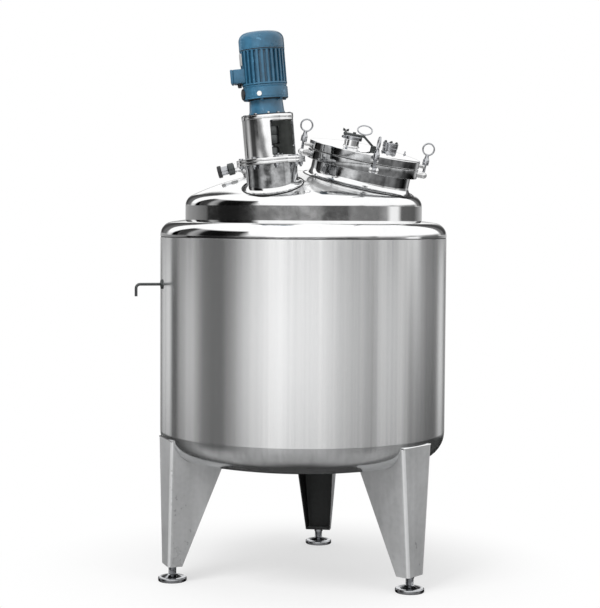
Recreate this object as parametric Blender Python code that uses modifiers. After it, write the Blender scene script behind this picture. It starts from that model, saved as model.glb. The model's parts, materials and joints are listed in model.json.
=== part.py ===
"""Jacketed mixing tank on three plate legs, with a leaning agitator drive and a swing-bolt manway.

Units are metres and +Z is up. The tank stands on the plane z = 0, and the photographed side
faces -Y. Every height and radius below is measured in the tank's own frame, whose Z axis is
the axis of the vessel; the whole tank is then shifted so that the middle of its footprint
lies on the origin.
"""

import math

import bmesh
import bpy
from mathutils import Matrix, Vector

# Clearances shared by all pieces
SEAM_GAP = 0.0003        # gap between two pieces that touch
RUNNING_GAP = 0.0004     # radial play of a shaft or pin in its bore
CUT_MARGIN = 0.02        # how far a cutter reaches past what it cuts

# Roundness of turned pieces
BODY_STEPS = 48          # segments of the vessel and its cladding
RIM_STEPS = 40           # segments of the manway
PART_STEPS = 24          # segments of flanges, housings and tubes
PIN_STEPS = 16           # segments of rods, pins and wire rings
WIRE_STEPS = 6           # segments around the wire of a ring

# Cladding around the insulated vessel
CLADDING_SPACE = 0.105   # from the vessel's wall to the cladding, for its jacket and wool
CLADDING_SHEET = 0.003
WALL_BOTTOM = 0.616      # height where the wall turns into the bottom knuckle
WALL_HEIGHT = 0.816      # from there up to the seam with the polished shoulder
SHOULDER_BAND = 0.024    # straight part of the shoulder above the seam
SHOULDER_FILLET = 0.040
SHOULDER_SLOPE = math.radians(8.0)
BOTTOM_KNUCKLE = 0.114
BOTTOM_CROWN = 2.6       # radius of the shallow outer bottom dish

# Inner vessel
VESSEL_RADIUS = 0.500
VESSEL_SHEET = 0.005
BOTTOM_SPACE = 0.060     # from the cladding's lower end up to the vessel's dished bottom
VESSEL_STANDOUT = 0.130  # from the seam with the shoulder up to the top head
VESSEL_BOTTOM_KNUCKLE = 0.080
VESSEL_BOTTOM_CROWN = 1.300
HEAD_KNUCKLE = 0.050
HEAD_CROWN = 1.100
ARC_STEPS = 4            # segments of a knuckle
CROWN_STEPS = 4          # segments of a crown from knuckle to axis

# Legs: tapered channels folded from plate
LEG_AZIMUTHS = {"left": 200.0, "right": 320.0, "rear": 82.0}
LEG_FACE_SETBACK = 0.011  # from the cladding's radius in to the legs' outer faces
LEG_PLATE = 0.006
LEG_BOTTOM = 0.068
LEG_LOW_WIDTH = 0.112
LEG_LOW_DEPTH = 0.048
LEG_TOP_DROP = 0.012     # from the cladding's lower end down to where the top sizes hold
LEG_TOP_WIDTH = 0.200
LEG_TOP_DEPTH = 0.258
FOOT_STEM_RADIUS = 0.020
FOOT_PAD_RADIUS = 0.060
FOOT_PAD_EDGE = 0.018
FOOT_CONE_HEIGHT = 0.012
FOOT_CONE_RADIUS = 0.044
FOOT_SETBACK = 0.021     # from the leg's outer face to the axis of its foot

# Bottom outlet
OUTLET_RADIUS = 0.0255
OUTLET_WALL = 0.002
OUTLET_STUB = 0.0227     # from the lowest point of the outer bottom to the outlet's end
FERRULE_RADIUS = 0.032
FERRULE_HEIGHT = 0.0065

# Agitator drive, measured along its own leaning axis from the point where it meets the head
DRIVE_X_SHARE = -0.251   # of the vessel's radius
DRIVE_Y_SHARE = -0.680
DRIVE_LEAN = math.radians(5.0)
NECK_RADIUS = 0.104
NECK_WALL = 0.004
NECK_TOP = 0.075
FLANGE_REACH = 0.034     # beyond the neck
FLANGE_HEIGHT = 0.012
LANTERN_SETBACK = 0.0355 # from the flange's rim in to the lantern
LANTERN_WALL = 0.006
LANTERN_HEIGHT = 0.156
LANTERN_RIM = 0.008      # ring left above and below the lantern's windows
LANTERN_WINDOW_WIDTH = 0.116
LANTERN_WINDOW_AZIMUTH = math.radians(-50.0)
LANTERN_TOP_REACH = 0.0015
LANTERN_TOP_HEIGHT = 0.015
LANTERN_TOP_BORE = 0.045
REDUCER_TOP_RADIUS = 0.0665
REDUCER_LOW_RADIUS = 0.0725
REDUCER_HEIGHT = 0.065
GEAR_FLANGE_RADIUS = 0.0905
GEAR_FLANGE_HEIGHT = 0.056
MOTOR_RADIUS = 0.090
MOTOR_CORE_RADIUS = 0.079
MOTOR_HEIGHT = 0.141
MOTOR_FINS = 28
MOTOR_FIN_SHARE = 0.42   # share of the pitch that a fin fills
COWL_RADIUS = 0.091
COWL_HEIGHT = 0.070
COWL_CORNER = 0.035
BOX_REACH = 0.043        # terminal box, outward from the fins
BOX_HEIGHT = 0.056
BOX_WIDTH = 0.090
BOX_LIFT = 0.012         # from the foot of the motor to the box
BOX_LID = 0.012
SIGHT_RADIUS = 0.0100
SIGHT_REACH = 0.005
SIGHT_SHARE = 0.34       # height of the oil sight on the gear flange
SIGHT_TURN = math.radians(-14.0)

# Agitator shaft, coupling and propeller
SHAFT_RADIUS = 0.020
SHAFT_SOCKET = 0.020     # how deep the shaft's end sits in the reducer
SHAFT_SHORTFALL = 0.006  # how much shorter the shaft below the head is than the vessel's wall
COUPLING_RADIUS = 0.042
COUPLING_HEIGHT = 0.070
COUPLING_LIFT = 0.012    # above the seal housing
SEAL_RADIUS = 0.055
SEAL_HEIGHT = 0.045
HUB_RADIUS = 0.034
HUB_HEIGHT = 0.060
HUB_LIFT = 0.006         # from the lower end of the shaft to the hub
BLADE_REACH = 0.110
BLADE_CHORD = 0.064
BLADE_THICKNESS = 0.006
BLADE_PITCH = math.radians(40.0)
BLADE_COUNT = 3

# Manway, measured along its own leaning axis from the point where it meets the head
MANWAY_X_SHARE = 0.462   # of the vessel's radius
MANWAY_Y_SHARE = -0.262
MANWAY_LEAN = math.radians(13.0)
MANWAY_LEAN_AZIMUTH = math.radians(-30.0)
MANWAY_TURN = math.radians(8.0)
MANWAY_RADIUS_SHARE = 0.414
MANWAY_WALL = 0.004
RING_LOW = 0.045
RING_HEIGHT = 0.038
RING_REACH = 0.025       # from the neck's radius to the edge of the ring and the lid
GASKET_HEIGHT = 0.003
GASKET_REACH = 0.013
LID_HEIGHT = 0.033       # height of the lid's rim
LID_RIM_WIDTH = 0.024
LID_SHEET = 0.005
LID_CROWN = 0.020        # rise of the lid's crown above its rim
LID_CROWN_STEPS = 3
LID_EDGE = 0.004

# Swing bolts
BOLT_REACH = 0.029       # from the edge of the ring to the bolts' axes
BOLT_AZIMUTHS = {"left": 180.0, "front": 270.0, "right": 0.0}
BOLT_RADIUS = 0.006
BOLT_PIVOT_DROP = 0.021  # from the top of the ring flange to the bolt pivots
BOLT_EYE_RADIUS = 0.012
BOLT_EYE_WIDTH = 0.014
PIN_RADIUS = 0.005
EAR_THICKNESS = 0.009
EAR_RADIUS = 0.013
EAR_PLAY = 0.0008        # between an ear and the eye beside it
FORK_DROP = 0.015        # from the lid's edge plane to the forks' bearing face
FORK_THICKNESS = 0.015
FORK_WIDTH = 0.028
FORK_SLOT = 0.014
FORK_SHORT = 0.002       # how far the prongs end before the bolt's axis
NUT_RADIUS = 0.0135
NUT_HEIGHT = 0.020
NUT_COLLAR_RADIUS = 0.008
EYE_RING_RADIUS = 0.024
EYE_WIRE_RADIUS = 0.0035
EYE_RING_LIFT = 0.052    # from the lid's edge plane to the middle of the eye ring

# Lid hinge
HINGE_REACH = 0.030      # from the edge of the ring to the hinge pin
HINGE_DROP = 0.023       # from the top of the ring flange to the hinge pin
HINGE_PIN_RADIUS = 0.006
HINGE_EYE_RADIUS = 0.014
HINGE_ARM_WIDTH = 0.056
HINGE_EAR_THICKNESS = 0.010
HINGE_ARM_TOP = 0.008    # from the lid's edge plane down to the arm's top

# Fittings on the lid
PORT_X_SHARE = -0.3707   # of the lid's radius
PORT_Y_SHARE = -0.5603
PORT_RADIUS = 0.0300
PORT_HEIGHT = 0.034
PORT_CLAMP_RADIUS = 0.0390
PORT_CLAMP_HEIGHT = 0.016
PORT_CAP_RADIUS = 0.0320
PORT_CAP_HEIGHT = 0.005
BAR_LEFT = 0.040         # closing bar over the cap, from the port's axis to its ends
BAR_RIGHT = 0.050
BAR_WIDTH = 0.016
BAR_HEIGHT = 0.010
HANDLE_RADIUS = 0.0295
HANDLE_WIRE_RADIUS = 0.003
HANDLE_LEAN = math.radians(35.0)
HANDLE_TURN = math.radians(-14.0)
GLASS_X_SHARE = 0.4181   # of the lid's radius
GLASS_Y_SHARE = -0.0517
GLASS_FRAME_RADIUS = 0.032
GLASS_FRAME_BORE = 0.018
GLASS_FRAME_HEIGHT = 0.024
GLASS_RADIUS = 0.025
GLASS_HEIGHT = 0.008
GLASS_COVER_HEIGHT = 0.008

# Side nozzle: an elbow on the head with a clamped end piece
NOZZLE_X_SHARE = -0.474  # of the vessel's radius
NOZZLE_Y_SHARE = 0.000
NOZZLE_RADIUS = 0.0190
NOZZLE_WALL = 0.002
NOZZLE_BEND = 0.038      # radius of the elbow's middle line
NOZZLE_BEND_STEPS = 7
NOZZLE_FALL = math.radians(15.0)
NOZZLE_STRAIGHT = 0.024  # from the end of the bend to the joint
NOZZLE_CLAMP_RADIUS = 0.0255
NOZZLE_CLAMP_HEIGHT = 0.026
NOZZLE_END_LENGTH = 0.058
NOZZLE_END_RADIUS = 0.0260
NOZZLE_END_HEIGHT = 0.017

# Vent elbow on the left of the wall
VENT_AZIMUTH = math.radians(194.0)
VENT_BELOW_SEAM = 0.197  # from the seam of wall and shoulder down to the tube
VENT_TUBE_RADIUS = 0.006
VENT_REACH = 0.109
VENT_DROP = 0.050
VENT_BEND = 0.016
VENT_PAD_RADIUS = 0.020
VENT_PAD_THICKNESS = 0.006

# Radii, heights and places worked out from the sizes above
CLADDING_RADIUS = VESSEL_RADIUS + CLADDING_SPACE
WALL_TOP = WALL_BOTTOM + WALL_HEIGHT
VESSEL_BOTTOM = WALL_BOTTOM + BOTTOM_SPACE
VESSEL_TOP = WALL_TOP + VESSEL_STANDOUT
LEG_TOP_HEIGHT = WALL_BOTTOM - LEG_TOP_DROP
LEG_FACE_DISTANCE = CLADDING_RADIUS - LEG_FACE_SETBACK
DRIVE_X = VESSEL_RADIUS * DRIVE_X_SHARE
DRIVE_Y = VESSEL_RADIUS * DRIVE_Y_SHARE
MANWAY_X = VESSEL_RADIUS * MANWAY_X_SHARE
MANWAY_Y = VESSEL_RADIUS * MANWAY_Y_SHARE
MANWAY_RADIUS = VESSEL_RADIUS * MANWAY_RADIUS_SHARE
RING_RADIUS = MANWAY_RADIUS + RING_REACH
LID_RADIUS = RING_RADIUS
GASKET_RADIUS = MANWAY_RADIUS + GASKET_REACH
BOLT_CIRCLE = RING_RADIUS + BOLT_REACH
HINGE_DISTANCE = RING_RADIUS + HINGE_REACH
PORT_X = LID_RADIUS * PORT_X_SHARE
PORT_Y = LID_RADIUS * PORT_Y_SHARE
GLASS_X = LID_RADIUS * GLASS_X_SHARE
GLASS_Y = LID_RADIUS * GLASS_Y_SHARE
NOZZLE_X = VESSEL_RADIUS * NOZZLE_X_SHARE
NOZZLE_Y = VESSEL_RADIUS * NOZZLE_Y_SHARE
VENT_HEIGHT = WALL_TOP - VENT_BELOW_SEAM
FLANGE_RADIUS = NECK_RADIUS + FLANGE_REACH
LANTERN_RADIUS = FLANGE_RADIUS - LANTERN_SETBACK
LANTERN_TOP_RADIUS = LANTERN_RADIUS + LANTERN_TOP_REACH
NECK_FLANGE_LOW = NECK_TOP + SEAM_GAP
BASE_FLANGE_LOW = NECK_FLANGE_LOW + FLANGE_HEIGHT + SEAM_GAP
LANTERN_LOW = BASE_FLANGE_LOW + FLANGE_HEIGHT + SEAM_GAP
LANTERN_TOP_LOW = LANTERN_LOW + LANTERN_HEIGHT + SEAM_GAP
REDUCER_LOW = LANTERN_TOP_LOW + LANTERN_TOP_HEIGHT + SEAM_GAP
GEAR_FLANGE_LOW = REDUCER_LOW + REDUCER_HEIGHT + SEAM_GAP
MOTOR_LOW = GEAR_FLANGE_LOW + GEAR_FLANGE_HEIGHT + SEAM_GAP
COWL_LOW = MOTOR_LOW + MOTOR_HEIGHT + SEAM_GAP
SHAFT_BORE = SHAFT_RADIUS + RUNNING_GAP
COUPLING_LOW = LANTERN_LOW + SEAL_HEIGHT + COUPLING_LIFT
SHAFT_TOP = REDUCER_LOW + SHAFT_SOCKET - SEAM_GAP
SHAFT_LOW = -(VESSEL_TOP - VESSEL_BOTTOM - SHAFT_SHORTFALL)
HUB_LOW = SHAFT_LOW + HUB_LIFT
FLANGE_BORE = NECK_RADIUS - NECK_WALL
RING_BORE = MANWAY_RADIUS + SEAM_GAP
RING_TOP = RING_LOW + RING_HEIGHT
GASKET_LOW = RING_TOP + SEAM_GAP
LID_LOW = GASKET_LOW + GASKET_HEIGHT + SEAM_GAP
LID_TOP = LID_LOW + LID_HEIGHT
BOLT_PIVOT_HEIGHT = RING_TOP - BOLT_PIVOT_DROP
HINGE_HEIGHT = RING_TOP - HINGE_DROP
FORK_TOP = LID_TOP - FORK_DROP
NUT_LOW = FORK_TOP + SEAM_GAP
EYE_RING_HEIGHT = LID_TOP + EYE_RING_LIFT
FOOT_DISTANCE = LEG_FACE_DISTANCE - FOOT_SETBACK
FOOT_STEM_TOP = LEG_BOTTOM - SEAM_GAP
FOOT_PAD_TOP = FOOT_PAD_EDGE + FOOT_CONE_HEIGHT
VENT_END = CLADDING_RADIUS + VENT_REACH


def dish_profile(radius, knuckle, crown, height, side):
    """Points (radius, height) from the rim of a dish to its apex; side is 1 upward, -1 downward."""
    centre_drop = math.sqrt((crown - knuckle) ** 2 - (radius - knuckle) ** 2)
    meeting = math.acos((radius - knuckle) / (crown - knuckle))
    points = []
    for step in range(ARC_STEPS + 1):
        angle = meeting * step / ARC_STEPS
        out = radius - knuckle + knuckle * math.cos(angle)
        rise = knuckle * math.sin(angle)
        points.append((out, height + side * rise))
    for step in range(1, CROWN_STEPS + 1):
        angle = meeting + (math.pi / 2 - meeting) * step / CROWN_STEPS
        out = max(crown * math.cos(angle), 0.0)
        rise = crown * math.sin(angle) - centre_drop
        points.append((out, height + side * rise))
    points[-1] = (0.0, points[-1][1])
    return points


OUTER_BOTTOM_LOW = dish_profile(CLADDING_RADIUS, BOTTOM_KNUCKLE, BOTTOM_CROWN, WALL_BOTTOM, -1)[-1][1]
OUTLET_BOTTOM = OUTER_BOTTOM_LOW - OUTLET_STUB


def dished_sheet(name, finish, radius, knuckle, crown, height, side, thickness):
    """A dished end of even thickness, turned around the vessel's axis."""
    outer = dish_profile(radius, knuckle, crown, height, side)
    inner = dish_profile(
        radius - thickness, knuckle - thickness, crown - thickness, height, side
    )
    profile = outer[::-1] + inner if side > 0 else inner[::-1] + outer
    return turned(name, tank, finish, profile, BODY_STEPS, closed=False)


def head_height(x, y):
    """Height of the crown of the top head over a point of the tank's plan."""
    centre = VESSEL_TOP - math.sqrt((HEAD_CROWN - HEAD_KNUCKLE) ** 2 - (VESSEL_RADIUS - HEAD_KNUCKLE) ** 2)
    return centre + math.sqrt(HEAD_CROWN ** 2 - x * x - y * y)


def arc_points(centre, radius, start, end, steps):
    """Points (a, b) of an arc in degrees from start to end."""
    points = []
    for step in range(steps + 1):
        angle = math.radians(start + (end - start) * step / steps)
        points.append((centre[0] + radius * math.cos(angle), centre[1] + radius * math.sin(angle)))
    return points


for old in list(bpy.data.objects):
    bpy.data.objects.remove(old, do_unlink=True)

PARTS = bpy.data.collections.new("mixing_tank")
CUTTERS = bpy.data.collections.new("cutters")
bpy.context.scene.collection.children.link(PARTS)
bpy.context.scene.collection.children.link(CUTTERS)


def paint(name, colour, roughness, metallic):
    """A plain material with its colour, roughness and metallic value."""
    material = bpy.data.materials.new(name)
    material.use_nodes = True
    shader = material.node_tree.nodes["Principled BSDF"]
    shader.inputs["Base Color"].default_value = (*colour, 1.0)
    shader.inputs["Roughness"].default_value = roughness
    shader.inputs["Metallic"].default_value = metallic
    return material


FINISHES = {
    "polished": ((0.62, 0.63, 0.65), 0.08, 1.0),
    "brushed": ((0.56, 0.57, 0.58), 0.32, 1.0),
    "satin": ((0.50, 0.51, 0.52), 0.25, 1.0),
    "blue": ((0.035, 0.105, 0.220), 0.40, 0.0),
    "rubber": ((0.75, 0.75, 0.73), 0.60, 0.0),
    "glass": ((0.80, 0.85, 0.85), 0.05, 0.0),
    "white": ((0.90, 0.90, 0.88), 0.30, 0.0),
    "black": ((0.02, 0.02, 0.02), 0.35, 0.0),
}


def axis_frame(name, parent, location=(0.0, 0.0, 0.0), turn=None):
    """An empty that holds a group of pieces or a joint axis."""
    empty = bpy.data.objects.new(name, None)
    PARTS.objects.link(empty)
    empty.parent = parent
    empty.matrix_local = Matrix.Translation(location) @ (turn or Matrix.Identity(4))
    return empty


def place(name, mesh, parent, finish, turn=None, location=(0.0, 0.0, 0.0)):
    """A named piece with its own material, or a cutter when it has no finish."""
    piece = bpy.data.objects.new(name, mesh)
    if finish:
        PARTS.objects.link(piece)
        colour, roughness, metallic = FINISHES[finish]
        mesh.materials.clear()
        mesh.materials.append(paint(name, colour, roughness, metallic))
    else:
        CUTTERS.objects.link(piece)
        piece.hide_render = True
        piece.display_type = "WIRE"
    piece.parent = parent
    piece.matrix_local = Matrix.Translation(location) @ (turn or Matrix.Identity(4))
    return piece


def turned(name, parent, finish, profile, steps=PART_STEPS, closed=True, **where):
    """A turned piece: a profile of (radius, height) points, its outer side running down."""
    mesh = bpy.data.meshes.new(name)
    shape = bmesh.new()
    points = [shape.verts.new((radius, 0.0, height)) for radius, height in profile]
    for first, second in zip(points, points[1:]):
        shape.edges.new((first, second))
    if closed and (profile[0][0] > 0.0 or profile[-1][0] > 0.0):
        shape.edges.new((points[-1], points[0]))
    shape.to_mesh(mesh)
    shape.free()
    piece = place(name, mesh, parent, finish, **where)
    screw = piece.modifiers.new("turn", "SCREW")
    screw.axis = "Z"
    screw.angle = math.tau
    screw.steps = steps
    screw.render_steps = steps
    screw.use_merge_vertices = True
    screw.merge_threshold = 0.00005
    screw.use_smooth_shade = True
    return piece


def tube(name, parent, finish, outer, inner, low, high, steps=PART_STEPS, **where):
    """A straight ring or tube between two heights."""
    profile = [(outer, high), (outer, low), (inner, low), (inner, high)]
    return turned(name, parent, finish, profile, steps, **where)


def disc(name, parent, finish, radius, low, high, steps=PART_STEPS, **where):
    """A plain solid cylinder between two heights."""
    profile = [(0.0, high), (radius, high), (radius, low), (0.0, low)]
    return turned(name, parent, finish, profile, steps, **where)


def block(name, parent, finish, low, high, **where):
    """A box between two opposite corners, from a unit cube."""
    mesh = bpy.data.meshes.new(name)
    shape = bmesh.new()
    bmesh.ops.create_cube(shape, size=1.0)
    size = Vector(high) - Vector(low)
    middle = (Vector(high) + Vector(low)) / 2
    bmesh.ops.scale(shape, vec=size, verts=shape.verts)
    bmesh.ops.translate(shape, vec=middle, verts=shape.verts)
    shape.to_mesh(mesh)
    shape.free()
    return place(name, mesh, parent, finish, **where)


def thicken(piece, thickness):
    """Turns an open surface into a sheet whose outer side is the surface."""
    sheet = piece.modifiers.new("sheet", "SOLIDIFY")
    sheet.thickness = thickness
    sheet.offset = -1.0
    sheet.use_even_offset = True
    return piece


def combine(piece, other, operation):
    """Cuts another object out of a piece, or joins it to the piece."""
    change = piece.modifiers.new(other.name, "BOOLEAN")
    change.operation = operation
    change.object = other
    return piece


def cut(piece, *cutters):
    for cutter in cutters:
        combine(piece, cutter, "DIFFERENCE")
    return piece


def join(piece, *others):
    for other in others:
        combine(piece, other, "UNION")
    return piece


def extruded(name, parent, finish, outline, thickness, **where):
    """A flat outline in XY, given its thickness around the plane and made a mesh."""
    curve = bpy.data.curves.new(name, "CURVE")
    curve.dimensions = "2D"
    curve.fill_mode = "BOTH"
    curve.extrude = thickness / 2
    spline = curve.splines.new("POLY")
    spline.points.add(len(outline) - 1)
    for point, (x, y) in zip(spline.points, outline):
        point.co = (x, y, 0.0, 1.0)
    spline.use_cyclic_u = True
    return solid_from_curve(name, curve, parent, finish, **where)


def bent_tube(name, parent, finish, route, radius, **where):
    """A round tube along a route, with filled ends, made a mesh."""
    curve = bpy.data.curves.new(name, "CURVE")
    curve.dimensions = "3D"
    curve.bevel_depth = radius
    curve.bevel_resolution = 4
    curve.use_fill_caps = True
    spline = curve.splines.new("POLY")
    spline.points.add(len(route) - 1)
    for point, place_of_point in zip(spline.points, route):
        point.co = (*place_of_point, 1.0)
    return solid_from_curve(name, curve, parent, finish, **where)


def solid_from_curve(name, curve, parent, finish, **where):
    """The closed mesh of a curve, with its caps welded on."""
    drawn = bpy.data.objects.new(name + "_curve", curve)
    PARTS.objects.link(drawn)
    bpy.context.view_layer.update()
    graph = bpy.context.evaluated_depsgraph_get()
    mesh = bpy.data.meshes.new_from_object(drawn.evaluated_get(graph))
    bpy.data.objects.remove(drawn, do_unlink=True)
    shape = bmesh.new()
    shape.from_mesh(mesh)
    bmesh.ops.remove_doubles(shape, verts=shape.verts, dist=0.00002)
    bmesh.ops.recalc_face_normals(shape, faces=shape.faces)
    shape.to_mesh(mesh)
    shape.free()
    mesh.name = name
    return place(name, mesh, parent, finish, **where)


def torus(name, parent, finish, ring_radius, wire_radius, turn, location):
    """A wire ring lying around the Z axis of its placing."""
    bpy.ops.mesh.primitive_torus_add(
        major_radius=ring_radius,
        minor_radius=wire_radius,
        major_segments=PIN_STEPS,
        minor_segments=WIRE_STEPS,
    )
    made = bpy.context.object
    mesh = made.data
    bpy.data.objects.remove(made, do_unlink=True)
    mesh.name = name
    return place(name, mesh, parent, finish, turn=turn, location=location)


# Stands a flat outline up: its Y becomes height and its thickness runs along Y
UPRIGHT = Matrix.Rotation(math.radians(90.0), 4, "X")

# Middle of the footprint: the vent sticks out on the left and the rear foot behind
REAR_FOOT_REACH = FOOT_DISTANCE * math.sin(math.radians(LEG_AZIMUTHS["rear"])) + FOOT_PAD_RADIUS
VENT_LEFT_REACH = -VENT_END * math.cos(VENT_AZIMUTH) + VENT_TUBE_RADIUS
TANK_X = (VENT_LEFT_REACH - CLADDING_RADIUS) / 2
TANK_Y = (CLADDING_RADIUS - max(REAR_FOOT_REACH, CLADDING_RADIUS)) / 2
tank = axis_frame("tank_axis", None, (TANK_X, TANK_Y, 0.0))

# Frame of the agitator drive: Z runs up its leaning axis
drive = axis_frame(
    "drive_axis",
    tank,
    (DRIVE_X, DRIVE_Y, head_height(DRIVE_X, DRIVE_Y)),
    Matrix.Rotation(-DRIVE_LEAN, 4, "Y"),
)

# Frame of the manway: Z runs up its leaning axis, +Y points at the lid's hinge
lean_axis = Vector((-math.sin(MANWAY_LEAN_AZIMUTH), math.cos(MANWAY_LEAN_AZIMUTH), 0.0))
manway = axis_frame(
    "manway_axis",
    tank,
    (MANWAY_X, MANWAY_Y, head_height(MANWAY_X, MANWAY_Y)),
    Matrix.Rotation(MANWAY_LEAN, 4, lean_axis) @ Matrix.Rotation(MANWAY_TURN, 4, "Z"),
)

# Frames of the side nozzle: upright on the head, and along the piece behind its elbow
nozzle = axis_frame(
    "nozzle_axis", tank, (NOZZLE_X, NOZZLE_Y, head_height(NOZZLE_X, NOZZLE_Y))
)
nozzle_end = axis_frame(
    "nozzle_end_axis",
    nozzle,
    (-NOZZLE_BEND * (1.0 + math.sin(NOZZLE_FALL)), 0.0, NOZZLE_BEND * math.cos(NOZZLE_FALL)),
    Matrix.Rotation(-math.radians(90.0) - NOZZLE_FALL, 4, "Y"),
)

# Solid shapes of the head and of the cladding, a seam wider, that trim what stands on them
head_trim = turned(
    "head_trim",
    tank,
    None,
    dish_profile(
        VESSEL_RADIUS + SEAM_GAP, HEAD_KNUCKLE + SEAM_GAP, HEAD_CROWN + SEAM_GAP,
        VESSEL_TOP + SEAM_GAP, 1,
    )[::-1]
    + [(VESSEL_RADIUS + SEAM_GAP, VESSEL_BOTTOM), (0.0, VESSEL_BOTTOM)],
    BODY_STEPS,
)
body_trim = turned(
    "body_trim",
    tank,
    None,
    [(0.0, WALL_TOP), (CLADDING_RADIUS + SEAM_GAP, WALL_TOP)]
    + dish_profile(
        CLADDING_RADIUS + SEAM_GAP, BOTTOM_KNUCKLE + SEAM_GAP, BOTTOM_CROWN + SEAM_GAP, WALL_BOTTOM, -1
    ),
    BODY_STEPS,
)


def build_cladding():
    """Brushed wall, polished shoulder and dished outer bottom around the vessel."""
    tube(
        "cladding_wall", tank, "brushed", CLADDING_RADIUS, CLADDING_RADIUS - CLADDING_SHEET,
        WALL_BOTTOM, WALL_TOP, BODY_STEPS,
    )
    band_top = WALL_TOP + SHOULDER_BAND
    fillet_centre = (CLADDING_RADIUS - SHOULDER_FILLET, band_top)
    slope_degrees = math.degrees(SHOULDER_SLOPE)
    fillet = arc_points(fillet_centre, SHOULDER_FILLET, 90.0 - slope_degrees, 0.0, ARC_STEPS)
    inner_radius = VESSEL_RADIUS + SEAM_GAP + CLADDING_SHEET * math.sin(SHOULDER_SLOPE)
    rise = (fillet[0][0] - inner_radius) * math.tan(SHOULDER_SLOPE)
    profile = [(inner_radius, fillet[0][1] + rise)] + fillet
    profile.append((CLADDING_RADIUS, WALL_TOP + SEAM_GAP))
    shoulder = turned("cladding_shoulder", tank, "polished", profile, BODY_STEPS, closed=False)
    thicken(shoulder, CLADDING_SHEET)

    bottom = dished_sheet(
        "cladding_bottom", "brushed", CLADDING_RADIUS, BOTTOM_KNUCKLE, BOTTOM_CROWN,
        WALL_BOTTOM - SEAM_GAP, -1, CLADDING_SHEET,
    )
    outlet_hole = disc(
        "outlet_hole", tank, None, OUTLET_RADIUS + SEAM_GAP, OUTLET_BOTTOM, VESSEL_BOTTOM
    )
    cut(bottom, outlet_hole)


def build_vessel():
    """Inner vessel with its dished bottom, outlet and top head."""
    tube(
        "vessel_wall", tank, "polished", VESSEL_RADIUS, VESSEL_RADIUS - VESSEL_SHEET,
        VESSEL_BOTTOM, VESSEL_TOP, BODY_STEPS,
    )
    bottom = dished_sheet(
        "vessel_bottom", "satin", VESSEL_RADIUS, VESSEL_BOTTOM_KNUCKLE, VESSEL_BOTTOM_CROWN,
        VESSEL_BOTTOM - SEAM_GAP, -1, VESSEL_SHEET,
    )
    bore = OUTLET_RADIUS - OUTLET_WALL
    drain_hole = disc("drain_hole", tank, None, bore, OUTLET_BOTTOM, VESSEL_BOTTOM)
    cut(bottom, drain_hole)

    vessel_trim = turned(
        "vessel_bottom_trim",
        tank,
        None,
        [(0.0, VESSEL_TOP), (VESSEL_RADIUS + SEAM_GAP, VESSEL_TOP)]
        + dish_profile(
            VESSEL_RADIUS + SEAM_GAP,
            VESSEL_BOTTOM_KNUCKLE + SEAM_GAP,
            VESSEL_BOTTOM_CROWN + SEAM_GAP,
            VESSEL_BOTTOM - SEAM_GAP,
            -1,
        ),
        BODY_STEPS,
    )
    ferrule_top = OUTLET_BOTTOM + FERRULE_HEIGHT
    outlet = turned(
        "bottom_outlet",
        tank,
        "satin",
        [
            (OUTLET_RADIUS, VESSEL_BOTTOM),
            (OUTLET_RADIUS, ferrule_top),
            (FERRULE_RADIUS, ferrule_top),
            (FERRULE_RADIUS, OUTLET_BOTTOM),
            (bore, OUTLET_BOTTOM),
            (bore, VESSEL_BOTTOM),
        ],
    )
    cut(outlet, vessel_trim)

    head = dished_sheet(
        "top_head", "polished", VESSEL_RADIUS, HEAD_KNUCKLE, HEAD_CROWN,
        VESSEL_TOP + SEAM_GAP, 1, VESSEL_SHEET,
    )
    drive_hole = disc(
        "drive_hole", drive, None, NECK_RADIUS - NECK_WALL, -NECK_RADIUS, NECK_TOP
    )
    manway_hole = disc(
        "manway_hole", manway, None, MANWAY_RADIUS - MANWAY_WALL, -MANWAY_RADIUS, RING_LOW, RIM_STEPS
    )
    nozzle_hole = disc(
        "nozzle_hole", nozzle, None, NOZZLE_RADIUS - NOZZLE_WALL, -NOZZLE_BEND, NOZZLE_BEND
    )
    cut(head, drive_hole, manway_hole, nozzle_hole)


def tapered_box(name, parent, finish, low, high):
    """A box whose two ends, each (depth from, depth to, half width, height), differ in size."""
    mesh = bpy.data.meshes.new(name)
    shape = bmesh.new()
    bmesh.ops.create_cube(shape, size=2.0)
    for corner in shape.verts:
        inner, outer, half_width, height = high if corner.co.z > 0 else low
        depth = outer if corner.co.x > 0 else inner
        corner.co = (depth, math.copysign(half_width, corner.co.y), height)
    shape.to_mesh(mesh)
    shape.free()
    return place(name, mesh, parent, finish)


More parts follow.
